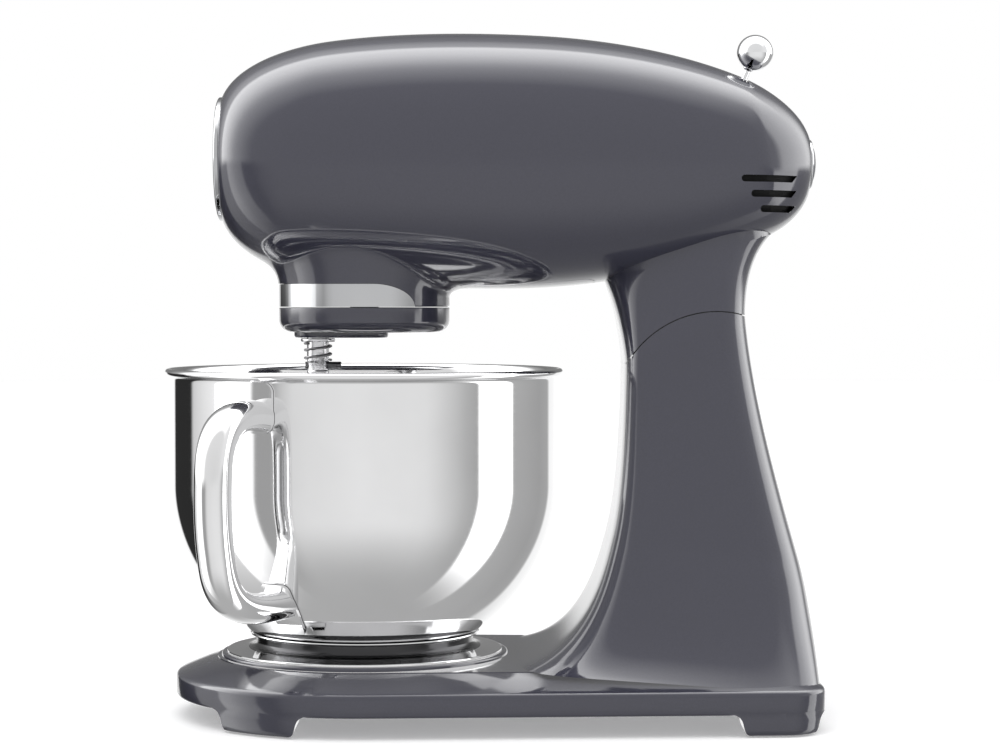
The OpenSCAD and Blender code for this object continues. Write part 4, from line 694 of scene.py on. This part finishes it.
boss_levels = ((209.5, 1.3), (209.7, 0.6), (210.3, 0.15), (211, 0), (214, 0))
boss = loft("carrier_arm", [oblong(BOSS_R - inset, z) for z, inset in boss_levels], CAST_CREASE)
boolean(drum, boss, "UNION")
bore = [(0, 205), (SHAFT_R + 0.05, 205), (SHAFT_R + 0.05, 232), (0, 232)]
boolean(drum, lathe("shaft_hole", bore, "z", TOOL_AT, 64), "DIFFERENCE")
dress(drum, paint, "carrier", "planetary_carrier", "planetary_carrier")

# ---------------------------------------------------------------- tool shaft

# The shaft with its groove near the lower end, the stop over it, and the spring and pin that hold a tool
TOOL_LOW, GROOVE_R, GROOVE_LOW, STOP_LOW, WIRE_CREASE = 178, 5.8, 190.6, 207.1, 60
shaft_line = rounded([(0, TOOL_LOW), (5.3, TOOL_LOW), (SHAFT_R, TOOL_LOW + 1), (SHAFT_R, GROOVE_LOW),
                      (GROOVE_R, GROOVE_LOW + 0.8), (GROOVE_R, 195.6), (SHAFT_R, 196.3), (SHAFT_R, 226),
                      (0, 226)],
                     [0, 0.3, 0.3, 0.3, 0.2, 0.2, 0.3, 0, 0], 4)
turned("tool_shaft_bright", shaft_line, shaft_steel, "tool", "tool_shaft", "tool_shaft", at=TOOL_AT, seg=96)
stop_line = rounded([(SHAFT_R + 0.03, STOP_LOW), (9.6, STOP_LOW), (9.6, STOP_LOW + 2),
                     (SHAFT_R + 0.03, STOP_LOW + 2)], [0.2, 0.7, 0.5, 0.2], 5)
turned("tool_collar_bright", stop_line, shaft_steel, "tool", "tool_collar", "tool_collar", at=TOOL_AT, seg=96)


def coil(name, centre, radius, wire, low, high, turns):
    """Wire wound up the Z axis, with its first and last tenth closed flat."""
    steps, sides = 46, 14
    rings = []
    n = int(turns * steps)
    for f in np.arange(n + 1) / n:
        a = 2 * math.pi * turns * f
        z = low + wire + (high - low - 2 * wire) * np.clip((f - 0.10) / 0.80, 0, 1)
        section = []
        for k in range(sides):
            b = 2 * math.pi * k / sides
            reach = radius + wire * math.cos(b)
            section.append((reach * math.cos(a), reach * math.sin(a), z + wire * math.sin(b)))
        rings.append(np.array(section) + np.array(centre))
    return loft(name, rings, WIRE_CREASE)


spring = coil("tool_spring_wire", TOOL_AT, radius=7.2, wire=0.7, low=196.3, high=STOP_LOW - 0.2, turns=2.6)
dress(spring, dark_wire, "tool", "tool_spring", "tool_spring")
pin_line = rounded([(0, -7.2), (2, -7.2), (2, 13), (0, 13)], [0, 0.5, 0.6, 0], 5)
turned("tool_cross_pin_dark", pin_line, dark_pin, "tool", "tool_cross_pin", "tool_cross_pin",
       axis="x", at=(TOOL_AT[0], 0, 194), seg=40)

# ---------------------------------------------------------------- bowl

# Wall's radius and the height where it starts to bend, the rim's radius and top, and the radius of its roll
BOWL_R, BEND_Z, RIM_R, RIM_Z, ROLL_R = 106.6, 128.0, 110.9, 192.5, 2.05
BOWL_WALL, BOWL_SEG = 1.2, 256
bowl_curve = [(BOWL_R, BEND_Z), (BOWL_R, BEND_Z - 28), (92, 68), (64, 47)]


def bowl_line(inset):
    """The wall's curve from its bend down to the foot, moved inwards by inset."""
    a, b, c, d = bowl_curve
    return curve([(a[0] - inset, a[1]), (b[0] - inset, b[1] + inset / 3),
                  (c[0] - inset * 0.7, c[1] + inset * 0.8), (d[0] - inset * 0.5, d[1] + inset)], 60)


roll_at = (RIM_R - ROLL_R, RIM_Z - ROLL_R)
roll = [(roll_at[0] + ROLL_R * math.cos(a), roll_at[1] + ROLL_R * math.sin(a))
        for a in np.radians(np.linspace(-90, 100, 22))]
flare_out = curve([(BOWL_R, 185.5), (BOWL_R, 187.6), (107.1, 188.3),
                   (roll_at[0] - 0.3, RIM_Z - 2 * ROLL_R)], 9)
flare_in = curve([roll[-1], (106.6, 192.2), (105.5, 190.8), (105.4, 187.5)], 10, 0.1)
bottom_out = [(0, 43.2), (54, 43.2)] + curve([(54, 43.2), (58, 43.2), (61, 45.3), (64, 47)], 8, 0.1, 0.95)
bottom_in = curve([(63.4, 48.2), (60.5, 46.6), (58, 44.4), (54, 44.4)], 8, 0.05) + [(0, 44.4)]
bowl_outline = (bottom_out + bowl_line(0)[::-1] + flare_out + roll + flare_in
                + bowl_line(BOWL_WALL) + bottom_in)
turned("bowl_shell", bowl_outline, bowl_steel, "bowl_set", "bowl", "bowl", seg=BOWL_SEG, angle=30)

# Foot ring: its waist, and the lip over it on which the bowl stands
WAIST_R, LIP_R, LIP_Z, FOOT_CREASE = 60.2, 64.0, 45.4, 34
foot_line = ([(56.4, 36.2), (60, 36.1)]
             + curve([(60, 36.1), (65, 35.7), (70, 35.35), (74.5, 35.32)], 8, 0.1)
             + [(76.3, 35.32), (76.75, 35.6), (76.75, 36.1), (76.3, 36.35)]
             + curve([(75.6, 36.3), (69, 36.6), (WAIST_R + 2.4, 37.0), (WAIST_R, 39.4)], 18)
             + curve([(WAIST_R, LIP_Z - 1.6), (WAIST_R + 0.1, LIP_Z - 0.9), (LIP_R - 2, LIP_Z - 0.8),
                      (LIP_R - 0.6, LIP_Z - 0.7)], 9)
             + [(LIP_R, LIP_Z - 0.1), (LIP_R - 0.1, LIP_Z + 0.4), (LIP_R - 0.8, LIP_Z + 0.6), (59.0, 44.0),
                (56.4, 42.9)])
turned("bowl_foot_ring", foot_line, bowl_steel, "bowl_set", "bowl_foot", "bowl_foot",
       seg=BOWL_SEG, angle=FOOT_CREASE)
# Dark sleeve laid over the foot ring's waist: painted shade of the gap under the bowl and painted reflection
# of the dark base, which gloss doesn't see
waist_line = (curve([(WAIST_R + 4.6, 37.5), (WAIST_R + 1.8, 38.1), (WAIST_R + 0.5, 39.2),
                     (WAIST_R + 0.3, 41)], 12)
              + [(WAIST_R + 0.3, LIP_Z - 1.7), (WAIST_R - 0.3, LIP_Z - 1.7), (WAIST_R - 0.3, 39.2),
                 (WAIST_R + 1.6, 37.6), (WAIST_R + 4.4, 37.0)])
turned("bowl_foot_painted_shade", waist_line, painted_shade_steel, "bowl_set", "bowl_foot", seg=BOWL_SEG, angle=FOOT_CREASE)

# Handle: a wide smooth grip, seamed along each side of its inner face, whose middle runs near radius MID
GRIP_W, GRIP_T, MID = 19.0, 17.0, 149.5
handle_path = [
    [(BOWL_R - 1, RIM_Z - 23.4), (BOWL_R + 15, RIM_Z - 20.2),
     (MID - 5.5, RIM_Z - 20), (MID - 0.8, RIM_Z - 42.5)],
    [(MID - 0.8, RIM_Z - 42.5), (MID + 1.5, RIM_Z - 57), (MID + 1, RIM_Z - 80), (MID - 2.5, RIM_Z - 94.5)],
    [(MID - 2.5, RIM_Z - 94.5), (MID - 6, RIM_Z - 124),
     (BOWL_R + 11, RIM_Z - 125), (BOWL_R - 24, RIM_Z - 123.7)],
]
# Its bearing about the bowl's axis, and the way out and the way across there
turn = math.radians(-118.3)
out_dir = np.array([math.cos(turn), math.sin(turn), 0])
side_dir = np.array([-math.sin(turn), math.cos(turn), 0])
groove, GROOVE_WIDTH, GROOVE_DEPTH = math.radians(118), 0.035, 0.45


def grip_section(half_t, half_w):
    out = []
    angles = list(np.linspace(-math.pi, math.pi, 72, endpoint=False))
    angles += [s * (groove + d) for s in (-1, 1) for d in (-GROOVE_WIDTH, 0, GROOVE_WIDTH)]
    for a in sorted(angles):
        c, s = math.cos(a), math.sin(a)
        n = 2.2 if c > 0 else 2.9
        off = half_t * math.copysign(abs(c) ** (2 / n), c)
        side = half_w * math.copysign(abs(s) ** (2 / n), s)
        cut = GROOVE_DEPTH if abs(abs(a) - groove) < 0.01 else 0.0
        k = 1 - cut / math.hypot(off, side)
        out.append((off * k, side * k))
    return out


def on_path(t):
    return eased(handle_path, t, 0.03)[0]


rings = []
for t in np.linspace(0, 1, 132):
    p, d = on_path(t), on_path(min(1, t + 0.01)) - on_path(max(0, t - 0.01))
    n = np.array([-d[1], d[0]]) / np.hypot(*d)
    slim = 0.93 + 0.07 * math.sin(math.pi * t)
    rings.append([out_dir * (p[0] + n[0] * a) + side_dir * b + np.array([0, 0, p[1] + n[1] * a])
                  for a, b in grip_section(GRIP_T / 2 * slim, GRIP_W / 2)])
grip = loft("handle_grip", rings, CAST_CREASE)
core_line = [(0, RIM_Z), (BOWL_R + 0.3, RIM_Z)] + bowl_line(-0.3) + [(0, 47.3)]
boolean(grip, lathe("bowl_core", core_line, "z", seg=BOWL_SEG), "DIFFERENCE", angle=CAST_CREASE)
dress(grip, handle_steel, "bowl_set", "bowl_handle", "bowl_handle")

# The two plates that join the handle to the bowl follow its outside
wall_line = np.array(sorted(bowl_line(0) + [(BOWL_R, 190.0)], key=lambda point: point[1]))
PLATE_GAP, PLATE_OUT = 0.32, 1.9


def strip_plate(name, rows):
    """Plate from rows of (height, half width), each row curved round the bowl."""
    heights, radii = wall_line[:, 1], wall_line[:, 0]
    rings = []
    for z, half in rows:
        slope = np.interp(z + 0.5, heights, radii) - np.interp(z - 0.5, heights, radii)
        nrm = np.array([1, -slope]) / math.hypot(1, slope)
        r0 = np.interp(z, heights, radii)
        loop = []
        inside, outside = np.linspace(-half, half, 18), np.linspace(half - 0.3, 0.3 - half, 18)
        for off, span in ((PLATE_GAP, inside), (PLATE_OUT, outside)):
            for s in span:
                r, a = r0 + nrm[0] * off, turn + s / r0
                loop.append((r * math.cos(a), r * math.sin(a), z + nrm[1] * off))
        rings.append(loop)
    return dress(loft(name, rings, 50), handle_steel, "bowl_set", "bowl_handle")


def rounded_rows(z0, z1, half, r):
    """Rows of a plate with rounded ends."""
    quarter = np.radians(np.linspace(0, 90, 9))
    return ([(z0 + r - r * math.cos(a), half - r + r * math.sin(a)) for a in quarter]
            + [(z, half) for z in np.linspace(z0 + r, z1 - r, 12)[1:-1]]
            + [(z1 - r + r * math.cos(a), half - r + r * math.sin(a)) for a in quarter[::-1]])


strip_plate("handle_upper_plate", rounded_rows(160.5, 187.4, 8.9, 5.6))
strip_plate("handle_lower_plate", [(52.6, 5.2), (52.9, 6.2), (54, 6.9), (58, 8.0), (62, 8.9), (66, 9.3),
                                   (72, 9.3), (77, 9.0), (79, 8.2), (80, 6.5)])

# ---------------------------------------------------------------- controls and trims

# Speed lever: made upright, then leaned
STEM_R, BALL_R = 1.6, 10.0


def leaned(obj, centre):
    """Turns a piece made along +Z about the origin into the lever's lean, and moves it to centre."""
    c, s = math.cos(lean), math.sin(lean)
    co = np.array([v.co for v in obj.data.vertices]) - SHIFT / 1000
    out = np.stack([c * co[:, 0] + s * co[:, 2], co[:, 1], -s * co[:, 0] + c * co[:, 2]], -1)
    out = out + (np.array(centre) + SHIFT) / 1000
    obj.data.vertices.foreach_set("co", out.astype(float).ravel())
    obj.data.update()
    return obj


ball_line = [(BALL_R * math.sin(a), -BALL_R * math.cos(a)) for a in np.linspace(0, math.pi, 60)]
ball = lathe("speed_knob_ball", ball_line, "z", seg=96, angle=60)
dress(leaned(ball, KNOB_AT), chrome, "lever", "speed_knob", "speed_knob")
ferrule_line = rounded([(0, 30), (STEM_R, 30), (STEM_R, 41.2), (2.7, 41.9), (3.1, 43.2), (0, 43.6)],
                       [0, 0, 0.6, 0.4, 0.2, 0], 4)
ferrule = lathe("speed_knob_ferrule", ferrule_line, "z", seg=48)
dress(leaned(ferrule, pivot), chrome, "lever", "speed_lever")
stem_piece = lathe("speed_lever_stem", [(0, 0), (STEM_R, 0), (STEM_R, 42), (0, 42)], "z", seg=40)
dress(leaned(stem_piece, pivot), shaft_steel, "lever", "speed_lever", "speed_lever")
hub_line = rounded([(0, -5), (5.5, -5), (5.5, 4), (0, 4)], [0, 0.6, 0.6, 0], 4)
lever_hub = lathe("speed_lever_hub", hub_line, "x", seg=40)
spindle = lathe("speed_lever_spindle", [(0, -14.5), (3, -14.5), (3, 0), (0, 0)], "x", seg=32)
for piece in (lever_hub, spindle):
    dress(leaned(piece, pivot), steel, "lever", "speed_lever")

# Front port: its bright ring, and the cap in it
PORT_AT, CAP_R = (-FRONT_X, 0, PORT_Z), 28.65
ring_line = rounded([(29.0, -0.4), (34.45, -0.4), (34.45, 1.9), (33.2, 2.5), (30.4, 2.5), (29.0, 1.6)],
                    [0, 0, 0.8, 0.9, 0.9, 0.5], 5)
turned("front_ring_bright", ring_line, trim_chrome, "head", "front_trim_ring", "front_trim_ring",
       axis="-x", at=PORT_AT, seg=180)
cap_line = [(0, 0.1), (CAP_R - 0.05, 0.1), (CAP_R, 0.5)]
cap_line += [(CAP_R * math.cos(a) ** 0.5 if a < 1.5 else 0, 0.5 + 2.05 * math.sin(a))
             for a in np.linspace(0.12, math.pi / 2, 16)]
turned("front_cap_face", cap_line, paint, "cover", "front_cover", "front_cover",
       axis="-x", at=PORT_AT, seg=160)
spigot_line = rounded([(16.0, -4.7), (18.2, -4.7), (18.2, 0.3), (16.0, 0.3)], [0.3, 0.6, 0, 0], 4)
turned("front_cap_spigot", spigot_line, plastic, "cover", "front_cover", axis="-x", at=PORT_AT, seg=120)

# Release button in its bright bezel, with its rod
BUTTON_AT, BUTTON_R, ROD_R = (REAR_X, 0, BUTTON_Z), 10.2, 3
bezel_line = rounded([(10.6, -6), (11.4, -6), (11.4, 0), (13.6, 0), (13.6, 0.9), (13.0, 1.4), (11.2, 1.4),
                      (10.6, 0.8)], [0, 0, 0.1, 0.2, 0.4, 0.5, 0.5, 0.3], 4)
turned("button_bezel_bright", bezel_line, trim_chrome, "head", "button_bezel", "button_bezel",
       axis="x", at=BUTTON_AT, seg=120)
button_line = [(0, -5), (BUTTON_R, -5), (BUTTON_R, 1.3)]
button_line += [(BUTTON_R * math.cos(a), 1.4 + 2.3 * math.sin(a)) for a in np.linspace(0.1, math.pi / 2, 18)]
turned("release_button_face", button_line, paint, "button", "release_button", "release_button",
       axis="x", at=BUTTON_AT, seg=96)
rod_line = rounded([(0, -42), (ROD_R, -42), (ROD_R, -4), (0, -4)], [0, 0.8, 0, 0], 4)
turned("release_button_rod", rod_line, steel, "button", "release_button", axis="x", at=BUTTON_AT, seg=40)

gland_line = rounded([(3.75, 240.5), (GLAND_R, 240.5), (GLAND_R, 249.7), (8.9, 249.7), (8.9, 251.1),
                      (5.2, 251.1), (3.75, 250.3)], [0.2, 0.3, 0, 0.4, 0.7, 0.6, 0.3], 5)
gland = turned("cord_gland_ring", gland_line, rubber, "stand", "cord_gland", "cord_gland",
               axis="x", at=(0, 0, GLAND_Z), seg=72)
pad_line = rounded([(0, 0), (PAD_R, 0), (PAD_R, PAD_TOP), (0, PAD_TOP)], [0, 0.5, 0.2, 0], 4)
rubber_pads = [turned(f"rubber_pad_{i}", pad_line, rubber, "stand", "rubber_feet", at=(x, y, 0), seg=48)
               for i, (x, y) in enumerate(PAD_AT)]
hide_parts("rubber_feet")

# ---------------------------------------------------------------- finishes of the CAD nodes that stay

kept = {
    steel: ["base_bottom_plate", "base_screws", "bowl_seat_plate", "seat_screws", "bracket_bolts",
            "hinge_pin", "pin_circlips", "frame_screws", "ring_gear", "main_bearings", "idler_axle",
            "motor_field", "motor_bolts", "motor_bearings", "main_shaft", "main_gear", "main_bevel_gear",
            "planet_pinion", "idler_gear", "rotor_shaft", "armature", "pto_shaft", "latch_lever",
            "button_spring"],
    iron: ["hinge_bracket", "hinge_arm"],
    aluminium: ["head_frame", "accessory_sleeve", "gearbox_pan", "motor_lower_bracket",
                "motor_upper_bracket"],
    vent_black: ["vent_grilles"],
    plastic: ["brush_holders", "speed_potentiometer", "cooling_fan"],
    board: ["control_board"],
    copper: ["commutator"],
}
for mat, names in kept.items():
    for name in names:
        mesh = nodes[name].data
        mesh.materials.clear()
        mesh.materials.append(mat)

# ---------------------------------------------------------------- floor, studio and camera

def ramp(tree, value, stops):
    """Grey level over value, from (position, level) pairs."""
    node = add(tree, "ValToRGB", Fac=value)
    elements = node.color_ramp.elements
    elements[0].position, elements[1].position = stops[0][0], stops[-1][0]
    for position, _ in stops[1:-1]:
        elements.new(position)
    for element, (_, level) in zip(elements, stops):
        element.color = (level, level, level, 1)
    return node.outputs["Color"]


def calc(tree, operation, *values):
    node = add(tree, "Math")
    node.operation = operation
    for socket, value in zip(node.inputs, values):
        if isinstance(value, (int, float)):
            socket.default_value = value
        else:
            tree.links.new(value, socket)
    return node.outputs[0]


scene = bpy.context.scene
world = bpy.data.worlds.new("studio")
scene.world = world
world.use_nodes = True
wt = world.node_tree
wt.nodes.clear()
dx, dy, dz = add(wt, "SeparateXYZ", Vector=add(wt, "TexCoord").outputs["Generated"]).outputs
front = calc(wt, "MULTIPLY", dy, -1.0)
# The two angles of the lists below, each as a share of its whole span
azimuth = calc(wt, "MULTIPLY_ADD", calc(wt, "ARCTAN2", dx, front), 1 / (2 * math.pi), 0.5)
off_front = calc(wt, "DIVIDE", calc(wt, "ARCCOSINE", front), math.pi)

# The brightest level of the studio, and its plain level for all that isn't gloss
BRIGHT, PLAIN = 6.0, 0.9


def studio_ramp(value, stops, low, high):
    """Levels over a span of angles, given as (angle, level) pairs."""
    return ramp(wt, value, [((angle - low) / (high - low), level / BRIGHT) for angle, level in stops])


def blended(factor, a, b):
    node = add(wt, "Mix")
    node.data_type = "RGBA"
    wt.links.new(factor, node.inputs["Factor"])
    wt.links.new(a, node.inputs["A"])
    wt.links.new(b, node.inputs["B"])
    return node.outputs["Result"]


def stepped(value, low, high):
    node = add(wt, "MapRange", From_Min=low, From_Max=high, Value=value)
    node.interpolation_type = "SMOOTHSTEP"
    return node.outputs["Result"]


def light(strength, colour=(1, 1, 1, 1)):
    return add(wt, "Background", Color=colour, Strength=strength)


def either(factor, a, b):
    node = add(wt, "MixShader")
    wt.links.new(factor, node.inputs[0])
    wt.links.new(a.outputs[0], node.inputs[1])
    wt.links.new(b.outputs[0], node.inputs[2])
    return node


# What gloss sees below the horizon, by azimuth: 0 is the camera's side, +90 the rear of the machine
around = [(-180, 1.1), (-157, 1.1), (-153, 0.03), (-123, 0.03), (-120, 0.75), (-108, 0.95), (-97, 1.1),
          (-95, 2.8), (-86, 2.6), (-81, 2.2), (-75, 1.9), (-67, 1.5), (-64.5, 0.42), (-54, 0.42), (-47, 0.7),
          (-40, 0.86), (-31, 0.9), (0, 0.95), (30, 0.95), (39, 0.93), (45, 0.86), (57, 0.68), (65, 0.55),
          (74, 0.46), (75.5, 3.0), (100, 3.0), (102, 0.51), (132, 0.42), (146, 0.45), (150, 1.1), (180, 1.1)]
# What it sees above the horizon, by the angle from the camera's side: a dark front inside a bright hoop,
# which is lower on the side of the tail
hoop = [(0, 0.85), (54, 0.9), (57, 1.15), (64, 1.75), (75, 2.6), (81, 3.4), (86, 4.3), (92, 5.1), (99, 5.7),
        (113, 5.7), (117, 1.9), (124, 1.4), (133, 0.5), (150, 0.22), (180, 0.25)]
tail_side = [(0, 0.85), (79, 1.0), (84, 3.3), (100, 3.9), (120, 3.6), (135, 2.1), (141, 0.8), (160, 0.3),
             (180, 0.3)]
# And what it sees far below the horizon, at any azimuth
UNDER = 0.5
under_light = add(wt, "RGB").outputs[0]
under_light.default_value = (UNDER / BRIGHT,) * 3 + (1,)
low_light = blended(stepped(dz, -0.95, -0.35), under_light, studio_ramp(azimuth, around, -180, 180))
high_light = blended(stepped(dx, 0.45, 0.8), studio_ramp(off_front, hoop, 0, 180),
                     studio_ramp(off_front, tail_side, 0, 180))
gloss = light(BRIGHT, blended(stepped(dz, -0.03, 0.06), low_light, high_light))

# Gloss sees the studio, the camera and what is seen through see white, and all else is lit at the plain level
path = add(wt, "LightPath")
lit = either(path.outputs["Is Glossy Ray"], light(PLAIN), gloss)
seen_through = calc(wt, "MAXIMUM", path.outputs["Is Camera Ray"], path.outputs["Is Transmission Ray"])
add(wt, "OutputWorld", Surface=either(seen_through, lit, light(1.0)).outputs[0])

# Floor: a pale disc that keeps the shadow, and glows for the camera alone, to meet the white behind it
FLOOR_R, FLOOR_GLOW = 6.0, 0.28
floor_mesh = bpy.data.meshes.new("floor")
floor_mesh.from_pydata([(x, y, 0) for x, y in arc((0, 0), FLOOR_R, 0, 357, 119)], [], [tuple(range(120))])
floor = link("floor", floor_mesh)
floor_mat, ft, floor_shader = material("pale_floor", (0.86, 0.86, 0.865), 0.0, 0.85)
floor_shader.inputs["Specular IOR Level"].default_value = 0.1
seen = add(ft, "LightPath").outputs["Is Camera Ray"]
glow = add(ft, "Emission", Color=(1, 1, 1, 1), Strength=calc(ft, "MULTIPLY", seen, FLOOR_GLOW))
both = add(ft, "AddShader")
ft.links.new(floor_shader.outputs[0], both.inputs[0])
ft.links.new(glow.outputs[0], both.inputs[1])
ft.links.new(both.outputs[0], ft.nodes["Material Output"].inputs["Surface"])
floor_mesh.materials.append(floor_mat)

# As in the photo, nothing mirrors the floor or the stand beside the bowl: gloss sees the studio instead
in_stand = ["base_bottom_plate", "base_screws", "bowl_seat_plate", "seat_screws", "hinge_bracket",
            "bracket_bolts", "hinge_pin", "pin_circlips", "hinge_arm"]
for obj in [floor, stand, column, gland] + rubber_pads + [nodes[name] for name in in_stand]:
    obj.visible_glossy = False


def aimed(name, data, at, target):
    """Puts a lamp or the camera at one point, turned to another."""
    obj = link(name, data)
    obj.location = at
    obj.rotation_euler = (Vector(target) - Vector(at)).to_track_quat("-Z", "Y").to_euler()
    return obj


# One soft lamp over the machine, and the photo's camera
lamp_data = bpy.data.lights.new("key_above", "AREA")
lamp_data.shape, lamp_data.size, lamp_data.size_y, lamp_data.energy = "RECTANGLE", 1.6, 1.2, 14
lamp = aimed("key_above", lamp_data, (-0.2, -0.9, 1.9), (0, 0, 0.1))
lamp.visible_glossy = lamp.visible_camera = False
CAMERA_AT, CAMERA_AIM = (0.0054, -1.45976, 0.231), (0.0054, 0.01524, 0.1891)
camera_data = bpy.data.cameras.new("camera")
camera_data.sensor_width, camera_data.lens, camera_data.clip_end = 36.0, 95.0, 50.0
scene.camera = aimed("camera", camera_data, CAMERA_AT, CAMERA_AIM)
scene.view_settings.view_transform = "Standard"


bpy.context.view_layer.update()
